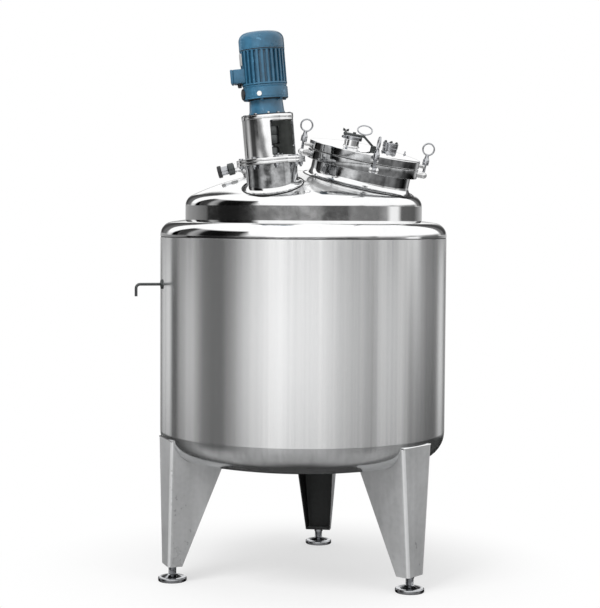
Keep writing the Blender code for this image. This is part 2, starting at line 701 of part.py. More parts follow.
def build_leg(side, azimuth):
    """A tapered channel leg with its levelling foot."""
    frame = axis_frame(
        "leg_frame_" + side, tank, turn=Matrix.Rotation(math.radians(azimuth), 4, "Z")
    )
    face = LEG_FACE_DISTANCE
    span = LEG_TOP_HEIGHT - LEG_BOTTOM

    def section(height, plate):
        share = (height - LEG_BOTTOM) / span
        width = LEG_LOW_WIDTH + (LEG_TOP_WIDTH - LEG_LOW_WIDTH) * share
        depth = LEG_LOW_DEPTH + (LEG_TOP_DEPTH - LEG_LOW_DEPTH) * share
        inner = face - depth
        if plate:
            inner -= CUT_MARGIN
        return inner, face - plate, width / 2 - plate, height

    top = WALL_BOTTOM + CUT_MARGIN
    leg = tapered_box(
        "leg_" + side, frame, "brushed", section(LEG_BOTTOM, 0.0), section(top, 0.0)
    )
    hollow = tapered_box(
        "leg_hollow_" + side,
        frame,
        None,
        section(LEG_BOTTOM + LEG_PLATE, LEG_PLATE),
        section(top + CUT_MARGIN, LEG_PLATE),
    )
    cut(leg, hollow, body_trim)

    disc(
        "foot_stem_" + side, frame, "satin", FOOT_STEM_RADIUS, FOOT_PAD_TOP + SEAM_GAP,
        FOOT_STEM_TOP, PIN_STEPS, location=(FOOT_DISTANCE, 0.0, 0.0),
    )
    turned(
        "foot_pad_" + side,
        frame,
        "satin",
        [
            (0.0, FOOT_PAD_TOP),
            (FOOT_STEM_RADIUS, FOOT_PAD_TOP),
            (FOOT_CONE_RADIUS, FOOT_PAD_EDGE),
            (FOOT_PAD_RADIUS, FOOT_PAD_EDGE),
            (FOOT_PAD_RADIUS, 0.0),
            (0.0, 0.0),
        ],
        location=(FOOT_DISTANCE, 0.0, 0.0),
    )


def build_drive_stand():
    """Neck on the head, its flange pair, the windowed lantern and the seal housing."""
    neck = tube(
        "agitator_neck", drive, "polished", NECK_RADIUS, NECK_RADIUS - NECK_WALL,
        -NECK_RADIUS, NECK_TOP,
    )
    cut(neck, head_trim)
    tube(
        "neck_flange", drive, "polished", FLANGE_RADIUS, FLANGE_BORE,
        NECK_FLANGE_LOW, NECK_FLANGE_LOW + FLANGE_HEIGHT,
    )
    tube(
        "lantern_base_flange", drive, "polished", FLANGE_RADIUS, SHAFT_BORE,
        BASE_FLANGE_LOW, BASE_FLANGE_LOW + FLANGE_HEIGHT,
    )
    lantern_top = LANTERN_LOW + LANTERN_HEIGHT
    lantern = tube(
        "lantern", drive, "polished", LANTERN_RADIUS, LANTERN_RADIUS - LANTERN_WALL,
        LANTERN_LOW, lantern_top,
    )
    reach = LANTERN_RADIUS + CUT_MARGIN
    windows = block(
        "lantern_windows",
        drive,
        None,
        (-reach, -LANTERN_WINDOW_WIDTH / 2, LANTERN_LOW + LANTERN_RIM),
        (reach, LANTERN_WINDOW_WIDTH / 2, lantern_top - LANTERN_RIM),
        turn=Matrix.Rotation(LANTERN_WINDOW_AZIMUTH, 4, "Z"),
    )
    cut(lantern, windows)
    tube(
        "lantern_top_flange", drive, "polished", LANTERN_TOP_RADIUS, LANTERN_TOP_BORE,
        LANTERN_TOP_LOW, LANTERN_TOP_LOW + LANTERN_TOP_HEIGHT,
    )
    tube(
        "seal_housing", drive, "satin", SEAL_RADIUS, SHAFT_BORE,
        LANTERN_LOW, LANTERN_LOW + SEAL_HEIGHT,
    )


def fin_outline():
    """Outline of the motor body: fins of even pitch around a round core."""
    pitch = math.tau / MOTOR_FINS
    half_fin = pitch * MOTOR_FIN_SHARE / 2
    outline = []
    for fin in range(MOTOR_FINS):
        middle = fin * pitch
        for radius, angle in (
            (MOTOR_CORE_RADIUS, middle - half_fin),
            (MOTOR_RADIUS, middle - half_fin),
            (MOTOR_RADIUS, middle + half_fin),
            (MOTOR_CORE_RADIUS, middle + half_fin),
        ):
            outline.append((radius * math.cos(angle), radius * math.sin(angle)))
    return outline


def build_gear_motor():
    """Blue gear motor on the lantern: reducer, gear flange, finned motor, cowl and terminal box."""
    turned(
        "reducer",
        drive,
        "blue",
        [
            (0.0, REDUCER_LOW + REDUCER_HEIGHT),
            (REDUCER_TOP_RADIUS, REDUCER_LOW + REDUCER_HEIGHT),
            (REDUCER_LOW_RADIUS, REDUCER_LOW),
            (SHAFT_BORE, REDUCER_LOW),
            (SHAFT_BORE, REDUCER_LOW + SHAFT_SOCKET),
            (0.0, REDUCER_LOW + SHAFT_SOCKET),
        ],
    )
    gear_flange = disc(
        "gear_flange", drive, "blue", GEAR_FLANGE_RADIUS,
        GEAR_FLANGE_LOW, GEAR_FLANGE_LOW + GEAR_FLANGE_HEIGHT,
    )
    gear_edge = gear_flange.modifiers.new("edge", "BEVEL")
    gear_edge.width = 0.004
    gear_edge.segments = 1
    sight_height = GEAR_FLANGE_LOW + GEAR_FLANGE_HEIGHT * SIGHT_SHARE
    sight_seat = GEAR_FLANGE_RADIUS + SEAM_GAP
    sight_turn = Matrix.Rotation(SIGHT_TURN, 4, "Z") @ Matrix.Rotation(math.radians(90.0), 4, "X")
    disc(
        "oil_sight", drive, "white", SIGHT_RADIUS, sight_seat, sight_seat + SIGHT_REACH, PIN_STEPS,
        turn=sight_turn, location=(0.0, 0.0, sight_height),
    )

    motor_middle = MOTOR_LOW + MOTOR_HEIGHT / 2
    motor = extruded(
        "motor_body", drive, "blue", fin_outline(), MOTOR_HEIGHT, location=(0.0, 0.0, motor_middle)
    )
    box_low = MOTOR_LOW + BOX_LIFT
    box_side = -(MOTOR_RADIUS + BOX_REACH)
    box_seat = block(
        "terminal_box_seat",
        drive,
        None,
        (box_side, -BOX_WIDTH / 2 - SEAM_GAP, box_low - SEAM_GAP),
        (-MOTOR_CORE_RADIUS + BOX_LID / 2, BOX_WIDTH / 2 + SEAM_GAP, box_low + BOX_HEIGHT + SEAM_GAP),
    )
    cut(motor, box_seat)
    block(
        "terminal_box",
        drive,
        "blue",
        (box_side + BOX_LID + SEAM_GAP, -BOX_WIDTH / 2, box_low),
        (-MOTOR_CORE_RADIUS + BOX_LID / 2 - SEAM_GAP, BOX_WIDTH / 2, box_low + BOX_HEIGHT),
    )
    block(
        "terminal_box_lid",
        drive,
        "blue",
        (box_side, -BOX_WIDTH / 2, box_low),
        (box_side + BOX_LID, BOX_WIDTH / 2, box_low + BOX_HEIGHT),
    )
    cowl_top = COWL_LOW + COWL_HEIGHT
    corner = arc_points(
        (COWL_RADIUS - COWL_CORNER, cowl_top - COWL_CORNER), COWL_CORNER, 90.0, 0.0, ARC_STEPS
    )
    turned(
        "fan_cowl",
        drive,
        "blue",
        [(0.0, cowl_top)] + corner + [(COWL_RADIUS, COWL_LOW), (0.0, COWL_LOW)],
    )


def build_agitator():
    """Shaft, coupling and propeller that turn on the drive's axis."""
    axis = axis_frame("agitator_axis", drive)
    disc("agitator_shaft", axis, "satin", SHAFT_RADIUS, SHAFT_LOW, SHAFT_TOP)
    tube(
        "shaft_coupling", axis, "satin", COUPLING_RADIUS, SHAFT_RADIUS + SEAM_GAP,
        COUPLING_LOW, COUPLING_LOW + COUPLING_HEIGHT,
    )
    hub_bore = SHAFT_RADIUS + SEAM_GAP
    propeller = tube(
        "propeller", axis, "satin", HUB_RADIUS, hub_bore, HUB_LOW, HUB_LOW + HUB_HEIGHT
    )
    for number in range(BLADE_COUNT):
        spin = Matrix.Rotation(math.tau * number / BLADE_COUNT, 4, "Z")
        lift = Matrix.Translation((0.0, 0.0, HUB_LOW + HUB_HEIGHT / 2))
        blade = block(
            "blade_%d" % number,
            axis,
            None,
            ((hub_bore + HUB_RADIUS) / 2, -BLADE_CHORD / 2, -BLADE_THICKNESS / 2),
            (BLADE_REACH, BLADE_CHORD / 2, BLADE_THICKNESS / 2),
            turn=lift @ spin @ Matrix.Rotation(BLADE_PITCH, 4, "X"),
        )
        join(propeller, blade)
    bore = disc(
        "propeller_bore", axis, None, hub_bore, HUB_LOW - CUT_MARGIN,
        HUB_LOW + HUB_HEIGHT + CUT_MARGIN,
    )
    cut(propeller, bore)


def ear_pair(name, frame, distance, height, gap, thickness, radius, pin_radius):
    """Two ears from the ring flange and the pin between them, as solids to join to it."""
    root = RING_RADIUS - CUT_MARGIN / 2
    outline = [(root, height - radius)]
    outline += arc_points((distance, height), radius, -90.0, 90.0, 8)
    outline.append((root, height + radius))
    solids = []
    for side in (-1, 1):
        middle = side * (gap + thickness) / 2
        ear = extruded(
            "%s_%d" % (name, side), frame, None, outline, thickness,
            turn=UPRIGHT, location=(0.0, middle, 0.0),
        )
        solids.append(ear)
    reach = (gap + thickness) / 2
    pin = disc(
        name + "_pin", frame, None, pin_radius, -reach, reach, PIN_STEPS,
        turn=Matrix.Rotation(math.radians(-90.0), 4, "X"), location=(distance, 0.0, height),
    )
    return solids + [pin]


def side_frame(name, azimuth):
    """A frame of the manway whose X axis points outward at one azimuth."""
    return axis_frame(name, manway, turn=Matrix.Rotation(math.radians(azimuth), 4, "Z"))


def build_manway_base():
    """Neck, ring flange with the ears of the bolts and hinge, and gasket."""
    neck = tube(
        "manway_neck", manway, "polished", MANWAY_RADIUS, MANWAY_RADIUS - MANWAY_WALL,
        -MANWAY_RADIUS, RING_TOP, RIM_STEPS,
    )
    cut(neck, head_trim)
    ring = tube("manway_ring", manway, "polished", RING_RADIUS, RING_BORE, RING_LOW, RING_TOP, RIM_STEPS)
    for side, azimuth in BOLT_AZIMUTHS.items():
        frame = side_frame("bolt_frame_" + side, azimuth)
        ears = ear_pair(
            "bolt_ear_" + side, frame, BOLT_CIRCLE, BOLT_PIVOT_HEIGHT,
            BOLT_EYE_WIDTH + 2 * EAR_PLAY, EAR_THICKNESS, EAR_RADIUS, PIN_RADIUS,
        )
        join(ring, *ears)
    hinge_frame = side_frame("hinge_frame", 90.0)
    ears = ear_pair(
        "hinge_ear", hinge_frame, HINGE_DISTANCE, HINGE_HEIGHT,
        HINGE_ARM_WIDTH + 2 * EAR_PLAY, HINGE_EAR_THICKNESS, HINGE_EYE_RADIUS, HINGE_PIN_RADIUS,
    )
    join(ring, *ears)
    neck_clearance = disc(
        "neck_clearance", manway, None, RING_BORE, RING_LOW - CUT_MARGIN, RING_TOP + CUT_MARGIN, RIM_STEPS
    )
    cut(ring, neck_clearance)
    tube(
        "manway_gasket", manway, "rubber", GASKET_RADIUS, MANWAY_RADIUS - MANWAY_WALL,
        GASKET_LOW, GASKET_LOW + GASKET_HEIGHT, RIM_STEPS,
    )


def crown_height(distance):
    """Height of the lid's crown at a distance from the manway's axis."""
    rim = LID_RADIUS - LID_EDGE
    crown_radius = (rim * rim + LID_CROWN * LID_CROWN) / (2 * LID_CROWN)
    return LID_TOP + LID_CROWN - crown_radius + math.sqrt(crown_radius ** 2 - distance ** 2)


def crown_profile(edge, grow):
    """Points of the crown from the axis outward, raised by grow."""
    points = []
    for step in range(LID_CROWN_STEPS + 1):
        distance = edge * step / LID_CROWN_STEPS
        points.append((distance, crown_height(distance) + grow))
    return points


def build_lid(axis):
    """Domed lid with its forks, hinge arm, clamped port with handle and sight glass."""
    body = axis_frame("lid_frame", axis, (0.0, -HINGE_DISTANCE, -HINGE_HEIGHT))
    inner = LID_RADIUS - LID_RIM_WIDTH
    underside = crown_profile(inner, -LID_SHEET)[::-1]
    lid = turned(
        "manway_lid",
        body,
        "polished",
        crown_profile(LID_RADIUS - LID_EDGE, 0.0)
        + [(LID_RADIUS, LID_TOP - LID_EDGE), (LID_RADIUS, LID_LOW), (inner, LID_LOW)]
        + underside,
        RIM_STEPS,
    )
    for side, azimuth in BOLT_AZIMUTHS.items():
        frame = axis_frame(
            "fork_frame_" + side, body, turn=Matrix.Rotation(math.radians(azimuth), 4, "Z")
        )
        fork = block(
            "fork_" + side,
            frame,
            None,
            (LID_RADIUS - LID_RIM_WIDTH / 2, -FORK_WIDTH / 2, FORK_TOP - FORK_THICKNESS),
            (BOLT_CIRCLE - FORK_SHORT, FORK_WIDTH / 2, FORK_TOP),
        )
        slot = block(
            "fork_slot_" + side,
            frame,
            None,
            (BOLT_CIRCLE - FORK_SLOT / 2, -FORK_SLOT / 2, FORK_TOP - FORK_THICKNESS - CUT_MARGIN),
            (BOLT_CIRCLE + CUT_MARGIN, FORK_SLOT / 2, FORK_TOP + CUT_MARGIN),
        )
        join(lid, fork)
        cut(lid, slot)
    port_hole = disc(
        "port_hole", body, None, PORT_RADIUS - NOZZLE_WALL, LID_LOW, LID_TOP + PORT_HEIGHT * 2,
        location=(PORT_X, PORT_Y, 0.0),
    )
    glass_hole = disc(
        "glass_hole", body, None, GLASS_FRAME_BORE, LID_LOW, LID_TOP + PORT_HEIGHT * 2,
        location=(GLASS_X, GLASS_Y, 0.0),
    )
    cut(lid, port_hole, glass_hole)

    build_hinge_arm(body)
    crown_trim = turned(
        "crown_trim",
        body,
        None,
        crown_profile(inner, SEAM_GAP) + [(inner, LID_LOW), (0.0, LID_LOW)],
        RIM_STEPS,
    )
    build_lid_port(body, crown_trim)
    build_sight_glass(body, crown_trim)


def build_hinge_arm(body):
    """Arm from the lid's rim around the hinge pin."""
    arm_top = LID_TOP - HINGE_ARM_TOP
    eye = arc_points((HINGE_DISTANCE, HINGE_HEIGHT), HINGE_EYE_RADIUS, 180.0, 360.0, 8)
    outline = eye + [
        (HINGE_DISTANCE + HINGE_EYE_RADIUS, arm_top),
        (LID_RADIUS - LID_RIM_WIDTH / 2, arm_top),
        (LID_RADIUS - LID_RIM_WIDTH / 2, LID_LOW),
        (HINGE_DISTANCE - HINGE_EYE_RADIUS, LID_LOW),
    ]
    arm = extruded(
        "hinge_arm", body, "satin", outline, HINGE_ARM_WIDTH,
        turn=Matrix.Rotation(math.radians(90.0), 4, "Z") @ UPRIGHT,
    )
    rim_trim = disc(
        "rim_trim", body, None, LID_RADIUS + SEAM_GAP, LID_LOW - CUT_MARGIN, LID_TOP + CUT_MARGIN, RIM_STEPS
    )
    pin_hole = disc(
        "hinge_pin_hole",
        body,
        None,
        HINGE_PIN_RADIUS + RUNNING_GAP,
        -HINGE_ARM_WIDTH,
        HINGE_ARM_WIDTH,
        PIN_STEPS,
        turn=Matrix.Rotation(math.radians(90.0), 4, "Y"),
        location=(0.0, HINGE_DISTANCE, HINGE_HEIGHT),
    )
    cut(arm, rim_trim, pin_hole)


def build_lid_port(body, crown_trim):
    """Ferrule port, blank cap, clamp ring, closing bar and the loop handle on it."""
    place_of_port = (PORT_X, PORT_Y, 0.0)
    foot = crown_height(math.hypot(PORT_X, PORT_Y))
    low = foot - CUT_MARGIN / 2
    port_top = foot + PORT_HEIGHT
    port = turned(
        "lid_port",
        body,
        "polished",
        [
            (PORT_CAP_RADIUS, port_top),
            (PORT_CAP_RADIUS, port_top - PORT_CAP_HEIGHT),
            (PORT_RADIUS, port_top - PORT_CAP_HEIGHT),
            (PORT_RADIUS, low),
            (PORT_RADIUS - NOZZLE_WALL, low),
            (PORT_RADIUS - NOZZLE_WALL, port_top),
        ],
        location=place_of_port,
    )
    cut(port, crown_trim)
    cap_low = port_top + SEAM_GAP
    cap_top = cap_low + PORT_CAP_HEIGHT
    disc("port_cap", body, "polished", PORT_CAP_RADIUS, cap_low, cap_top, location=place_of_port)
    clamp_low = port_top + (SEAM_GAP - PORT_CLAMP_HEIGHT) / 2
    tube(
        "port_clamp", body, "satin", PORT_CLAMP_RADIUS, PORT_CAP_RADIUS + SEAM_GAP,
        clamp_low, clamp_low + PORT_CLAMP_HEIGHT, location=place_of_port,
    )
    bar_low = clamp_low + PORT_CLAMP_HEIGHT + SEAM_GAP
    bar_top = bar_low + BAR_HEIGHT
    block(
        "port_bar",
        body,
        "satin",
        (-BAR_LEFT, -BAR_WIDTH / 2, bar_low),
        (BAR_RIGHT, BAR_WIDTH / 2, bar_top),
        location=place_of_port,
    )
    ring_foot = Vector((PORT_X + BAR_RIGHT - BAR_WIDTH / 2, PORT_Y, bar_top))
    ring_rise = HANDLE_RADIUS * math.sin(HANDLE_LEAN) + HANDLE_WIRE_RADIUS + SEAM_GAP
    ring_turn = Matrix.Rotation(HANDLE_TURN, 4, "Z")
    to_middle = ring_turn @ Vector((0.0, HANDLE_RADIUS * math.cos(HANDLE_LEAN), ring_rise))
    torus(
        "port_handle",
        body,
        "satin",
        HANDLE_RADIUS,
        HANDLE_WIRE_RADIUS,
        ring_turn @ Matrix.Rotation(HANDLE_LEAN, 4, "X"),
        ring_foot + to_middle,
    )


def build_sight_glass(body, crown_trim):
    """Bolted sight glass on the lid: frame, glass disc and cover ring."""
    place_of_glass = (GLASS_X, GLASS_Y, 0.0)
    foot = crown_height(math.hypot(GLASS_X, GLASS_Y))
    frame_top = foot + GLASS_FRAME_HEIGHT
    glass_low = frame_top - GLASS_HEIGHT
    frame = turned(
        "sight_glass_frame",
        body,
        "satin",
        [
            (GLASS_FRAME_RADIUS, frame_top),
            (GLASS_FRAME_RADIUS, foot - CUT_MARGIN / 2),
            (GLASS_FRAME_BORE, foot - CUT_MARGIN / 2),
            (GLASS_FRAME_BORE, glass_low),
            (GLASS_RADIUS + SEAM_GAP, glass_low),
            (GLASS_RADIUS + SEAM_GAP, frame_top),
        ],
        location=place_of_glass,
    )
    cut(frame, crown_trim)
    disc(
        "sight_glass", body, "glass", GLASS_RADIUS, glass_low + SEAM_GAP, frame_top,
        location=place_of_glass,
    )
    tube(
        "sight_glass_cover", body, "satin", GLASS_FRAME_RADIUS, GLASS_FRAME_BORE,
        frame_top + SEAM_GAP, frame_top + SEAM_GAP + GLASS_COVER_HEIGHT, location=place_of_glass,
    )


def build_swing_bolt(side, azimuth):
    """A swing bolt on its pivot and the eye nut that holds the lid's fork down."""
    frame = side_frame("bolt_seat_" + side, azimuth)
    axis = axis_frame("bolt_axis_" + side, frame, (BOLT_CIRCLE, 0.0, BOLT_PIVOT_HEIGHT))
    lay = Matrix.Rotation(math.radians(-90.0), 4, "X")
    nut_low = NUT_LOW - BOLT_PIVOT_HEIGHT
    bolt_top = nut_low + NUT_HEIGHT
    bolt = disc(
        "swing_bolt_" + side, axis, "satin", BOLT_EYE_RADIUS, -BOLT_EYE_WIDTH / 2,
        BOLT_EYE_WIDTH / 2, PIN_STEPS, turn=lay,
    )
    rod = disc("bolt_rod_" + side, axis, None, BOLT_RADIUS, 0.0, bolt_top, PIN_STEPS)
    pin_hole = disc(
        "bolt_pin_hole_" + side, axis, None, PIN_RADIUS + RUNNING_GAP, -BOLT_EYE_WIDTH,
        BOLT_EYE_WIDTH, PIN_STEPS, turn=lay,
    )
    cut(join(bolt, rod), pin_hole)

    ring_height = EYE_RING_HEIGHT - BOLT_PIVOT_HEIGHT
    collar_top = ring_height - EYE_RING_RADIUS
    bore = BOLT_RADIUS + SEAM_GAP
    nut = turned(
        "eye_nut_" + side,
        axis,
        "satin",
        [
            (0.0, collar_top),
            (NUT_COLLAR_RADIUS, collar_top),
            (NUT_RADIUS, nut_low + NUT_HEIGHT),
            (NUT_RADIUS, nut_low),
            (bore, nut_low),
            (bore, bolt_top + SEAM_GAP),
            (0.0, bolt_top + SEAM_GAP),
        ],
        PIN_STEPS,
    )
    eye_ring = torus(
        "eye_ring_" + side,
        axis,
        None,
        EYE_RING_RADIUS,
        EYE_WIRE_RADIUS,
        Matrix.Rotation(math.radians(90.0), 4, "X"),
        (0.0, 0.0, ring_height),
    )
    join(nut, eye_ring)


def build_side_nozzle():
    """Elbow pipe on the head that points to the left, its clamp ring and its end piece."""
    end_degrees = 90.0 + math.degrees(NOZZLE_FALL)
    bend = arc_points((-NOZZLE_BEND, 0.0), NOZZLE_BEND, 0.0, end_degrees, NOZZLE_BEND_STEPS)

    def route(margin):
        """Middle line of the elbow, its ends moved outward by a margin."""
        along = NOZZLE_STRAIGHT + margin
        foot = [(0.0, 0.0, -NOZZLE_RADIUS - margin)]
        end_x = bend[-1][0] - along * math.cos(NOZZLE_FALL)
        end_z = bend[-1][1] - along * math.sin(NOZZLE_FALL)
        return foot + [(out, 0.0, height) for out, height in bend] + [(end_x, 0.0, end_z)]

    pipe = bent_tube("side_nozzle", nozzle, "polished", route(0.0), NOZZLE_RADIUS)
    bore = bent_tube(
        "side_nozzle_bore", nozzle, None, route(CUT_MARGIN), NOZZLE_RADIUS - NOZZLE_WALL
    )
    cut(pipe, bore, head_trim)

    clamp_low = NOZZLE_STRAIGHT - NOZZLE_CLAMP_HEIGHT / 2
    tube(
        "nozzle_clamp", nozzle_end, "satin", NOZZLE_CLAMP_RADIUS, NOZZLE_RADIUS + SEAM_GAP,
        clamp_low, clamp_low + NOZZLE_CLAMP_HEIGHT,
    )
    end_low = NOZZLE_STRAIGHT + SEAM_GAP
    end_top = end_low + NOZZLE_END_LENGTH
    turned(
        "nozzle_end_piece",
        nozzle_end,
        "black",
        [
            (0.0, end_top),
            (NOZZLE_END_RADIUS, end_top),
            (NOZZLE_END_RADIUS, end_top - NOZZLE_END_HEIGHT),
            (NOZZLE_RADIUS, end_top - NOZZLE_END_HEIGHT),
            (NOZZLE_RADIUS, end_low),
            (0.0, end_low),
        ],
    )


def build_vent():
    """Thin vent tube that leaves the wall on a boss and turns down."""
    frame = axis_frame(
        "vent_frame", tank, (0.0, 0.0, VENT_HEIGHT), Matrix.Rotation(VENT_AZIMUTH, 4, "Z")
    )
    lay = Matrix.Rotation(math.radians(90.0), 4, "Y")
    pad = tube(
        "vent_pad", frame, "satin", VENT_PAD_RADIUS, VENT_TUBE_RADIUS + SEAM_GAP,
        CLADDING_RADIUS - CUT_MARGIN, CLADDING_RADIUS + VENT_PAD_THICKNESS, PIN_STEPS, turn=lay,
    )
    cut(pad, body_trim)
    bend_start = VENT_END - VENT_BEND
    bend = arc_points((bend_start, -VENT_BEND), VENT_BEND, 90.0, 0.0, ARC_STEPS)
    route = [(CLADDING_RADIUS + SEAM_GAP * 2, 0.0, 0.0)]
    route += [(out, 0.0, height) for out, height in bend]
    route.append((VENT_END, 0.0, -VENT_DROP))
    bent_tube("vent_elbow", frame, "satin", route, VENT_TUBE_RADIUS)


build_cladding()
build_vessel()
for leg_side, leg_azimuth in LEG_AZIMUTHS.items():
    build_leg(leg_side, leg_azimuth)
build_drive_stand()
build_gear_motor()
build_agitator()
build_manway_base()
lid_axis = axis_frame("lid_axis", manway, (0.0, HINGE_DISTANCE, HINGE_HEIGHT))
build_lid(lid_axis)
for bolt_side, bolt_azimuth in BOLT_AZIMUTHS.items():
    build_swing_bolt(bolt_side, bolt_azimuth)
build_side_nozzle()
build_vent()
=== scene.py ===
# %% [markdown]
# # A mixing tank, dressed for its portrait
# The solids of the tank come in as a fixed frame. Every cell below adds the finish or the fine
# detail of one group of pieces, always in the places that the frame gives.

# %% Load the frame
import json
import math

import bmesh
import bpy
from mathutils import Matrix, Vector


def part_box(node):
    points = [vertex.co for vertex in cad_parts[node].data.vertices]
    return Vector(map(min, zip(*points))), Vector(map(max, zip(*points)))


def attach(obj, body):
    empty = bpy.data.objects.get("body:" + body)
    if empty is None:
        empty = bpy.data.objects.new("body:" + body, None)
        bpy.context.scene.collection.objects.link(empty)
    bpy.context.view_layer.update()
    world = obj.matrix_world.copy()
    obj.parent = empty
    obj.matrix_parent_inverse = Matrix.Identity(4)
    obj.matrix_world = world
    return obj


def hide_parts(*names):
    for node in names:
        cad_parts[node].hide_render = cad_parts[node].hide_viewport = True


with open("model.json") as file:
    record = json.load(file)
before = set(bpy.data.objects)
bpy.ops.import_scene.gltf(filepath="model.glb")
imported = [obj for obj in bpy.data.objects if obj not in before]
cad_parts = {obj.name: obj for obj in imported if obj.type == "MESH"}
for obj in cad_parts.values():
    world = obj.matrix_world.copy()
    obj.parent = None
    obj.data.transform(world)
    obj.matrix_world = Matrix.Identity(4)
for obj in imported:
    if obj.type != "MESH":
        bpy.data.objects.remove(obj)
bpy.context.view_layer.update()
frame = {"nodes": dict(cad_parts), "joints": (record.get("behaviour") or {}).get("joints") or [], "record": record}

# %% [markdown]
# ## Where things stand
# The vessel, the leaning drive and the leaning manway each have their own axis. A matrix for each
# of them lets a piece be drawn upright around its own Z axis and then be set in its place. Heights
# on the tank are counted from 16 mm above the floor, and heights on the drive and the manway from
# the point where their axis leaves the head.

# %% Axes of the tank, the drive and the manway
LIFT = 0.016
TOUCH = 0.0003  # the gap between pieces that touch
HEAD_RADIUS = 0.500
HEAD_KNUCKLE = 0.050
HEAD_CROWN = 1.100
HEAD_LOW = 1.5463
HEAD_CENTRE = HEAD_LOW - math.sqrt((HEAD_CROWN - HEAD_KNUCKLE) ** 2 - (HEAD_RADIUS - HEAD_KNUCKLE) ** 2)
HINGE = (0.262, 0.060)  # out from the manway's axis, and up it
STAY = Matrix.Identity(4)
wall_low, wall_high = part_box("cladding_wall")
TANK = Matrix.Translation(((wall_low.x + wall_high.x) / 2, (wall_low.y + wall_high.y) / 2, LIFT))


def at(x=0.0, y=0.0, z=0.0):
    """A shift to a point."""
    return Matrix.Translation((x, y, z))


def facing(azimuth):
    """A turn around Z to an azimuth in degrees."""
    return Matrix.Rotation(math.radians(azimuth), 4, "Z")


def head_height(x, y):
    """Height of the head's crown over a point of the tank's plan."""
    return HEAD_CENTRE + math.sqrt(max(HEAD_CROWN ** 2 - x * x - y * y, 0.0))


def standing(x, y, lean, toward, turn=0.0):
    """An axis that stands on the head and leans by so many degrees toward an azimuth."""
    azimuth = math.radians(toward)
    hinge = Vector((-math.sin(azimuth), math.cos(azimuth), 0.0))
    tilt = Matrix.Rotation(math.radians(lean), 4, hinge) @ facing(turn)
    return TANK @ at(x, y, head_height(x, y) - TOUCH) @ tilt


DRIVE = standing(x=-0.1255, y=-0.340, lean=5.0, toward=180.0)
MANWAY = standing(x=0.231, y=-0.131, lean=13.0, toward=-30.0, turn=8.0)
joints = {joint["name"]: joint for joint in frame["joints"]}
drive_miss = DRIVE.translation - Vector(joints["agitator_spin"]["pos_m"])
hinge_miss = MANWAY @ Vector((0.0, *HINGE)) - Vector(joints["lid_hinge"]["pos_m"])
print("wall starts", round(wall_low.z - TANK.translation.z, 4), "m above the tank's zero")
print("drive axis is off by", drive_miss.length, "and the lid's hinge by", hinge_miss.length)

# %% [markdown]
# ## The camera
# The photograph was taken at eye height from about six and a half metres with a long lens, so the
# seams show as very flat ellipses. The same lens, place and slight roll are set here.

# %% Camera
EYE_DISTANCE = 6.590
EYE_HEIGHT = 1.500
EYE_ASIDE = -0.013
DOWNWARD = 3.2
ROLL = 0.35
FRAME_HEIGHT_PIXELS = 608
FOCAL_PIXELS = 1550.0
SENSOR = 36.0

lens = bpy.data.cameras.new("camera")
lens.sensor_fit = "VERTICAL"
lens.sensor_height = SENSOR
lens.lens = FOCAL_PIXELS * SENSOR / FRAME_HEIGHT_PIXELS
camera = bpy.data.objects.new("camera", lens)
bpy.context.scene.collection.objects.link(camera)
looking = Matrix.Rotation(math.radians(90.0 - DOWNWARD), 4, "X") @ facing(ROLL)
camera.matrix_world = TANK @ at(EYE_ASIDE, -EYE_DISTANCE, EYE_HEIGHT) @ looking
bpy.context.scene.camera = camera
print("lens of", round(lens.lens, 1), "mm at", [round(value, 3) for value in camera.location])

# %% [markdown]
# ## What the steel mirrors
# Polished steel has hardly a colour of its own: it shows the room. A painted panorama would do, but
# a few ramps are easier to read and to change. Each gives a tone for every compass direction, and
# each is laid over the others above or below a height of its own. The studio is white above, with
# one black hanging that reaches high on the left and a dark corner on each side behind the tank. Its
# far floor is grey. The camera sees plain white, and matt surfaces get an even, soft light.

# %% Tones of the room, by degrees to the right of the camera's side
ROOM_TONES = [
    (-180, 0.30), (-160, 0.20), (-149, 0.62), (-143, 0.46), (-136, 0.78), (-131, 0.52), (-128, 0.0),
    (-121, 0.0), (-117, 0.26), (-100, 0.62), (-92, 0.34), (-84, 0.06), (-66, 0.06), (-56, 0.34),
    (-46, 0.78), (-30, 1.02), (-19, 1.30), (-8, 1.10), (14, 1.04), (32, 0.68), (52, 0.50), (57, 0.20),
    (62, 0.70), (88, 0.60), (94, 0.34), (102, 0.60), (114, 0.23), (134, 0.16), (142, 0.70), (150, 0.62),
    (157, 0.16), (180, 0.70),
]
EYE_LEVEL_TONES = [
    (-180, 0.50), (-150, 0.30), (-128, 0.24), (-108, 0.12), (-104, 0.01), (-49, 0.01), (-44, 0.14),
    (-12, 0.17), (16, 0.20), (20, 0.05), (42, 0.05), (46, 0.18), (76, 0.16), (86, 0.30), (92, 0.95),
    (102, 0.95), (108, 0.12), (135, 0.10), (160, 0.45), (180, 0.50),
]
HANGING_TOP = [  # the second number is a height in hundreds of degrees
    (-180, 0.035), (-171, 0.035), (-164, 0.36), (-147, 0.36), (-140, 0.035), (-130, 0.035), (-118, 0.32),
    (-50, 0.32), (-42, 0.035), (140, 0.035), (147, 0.36), (164, 0.36), (171, 0.035), (180, 0.035),
]
BLACK_HANGING = [
    (-180, 1.0), (-171, 1.0), (-166, 0.25), (-145, 0.25), (-140, 1.0), (-122, 1.0), (-117, 0.12),
    (-107, 0.12), (-103, 0.60), (-93, 0.60), (-89, 0.06), (-52, 0.06), (-45, 1.0), (140, 1.0),
    (145, 0.25), (166, 0.25), (171, 1.0), (180, 1.0),
]
LOW_DARKNESS = [(-180, 1.0), (84, 1.0), (94, 0.40), (128, 0.40), (138, 1.0), (180, 1.0)]
FAR_DARKNESS = [(-180, 0.06), (-125, 0.06), (-95, 1.0), (95, 1.0), (125, 0.06), (180, 0.06)]
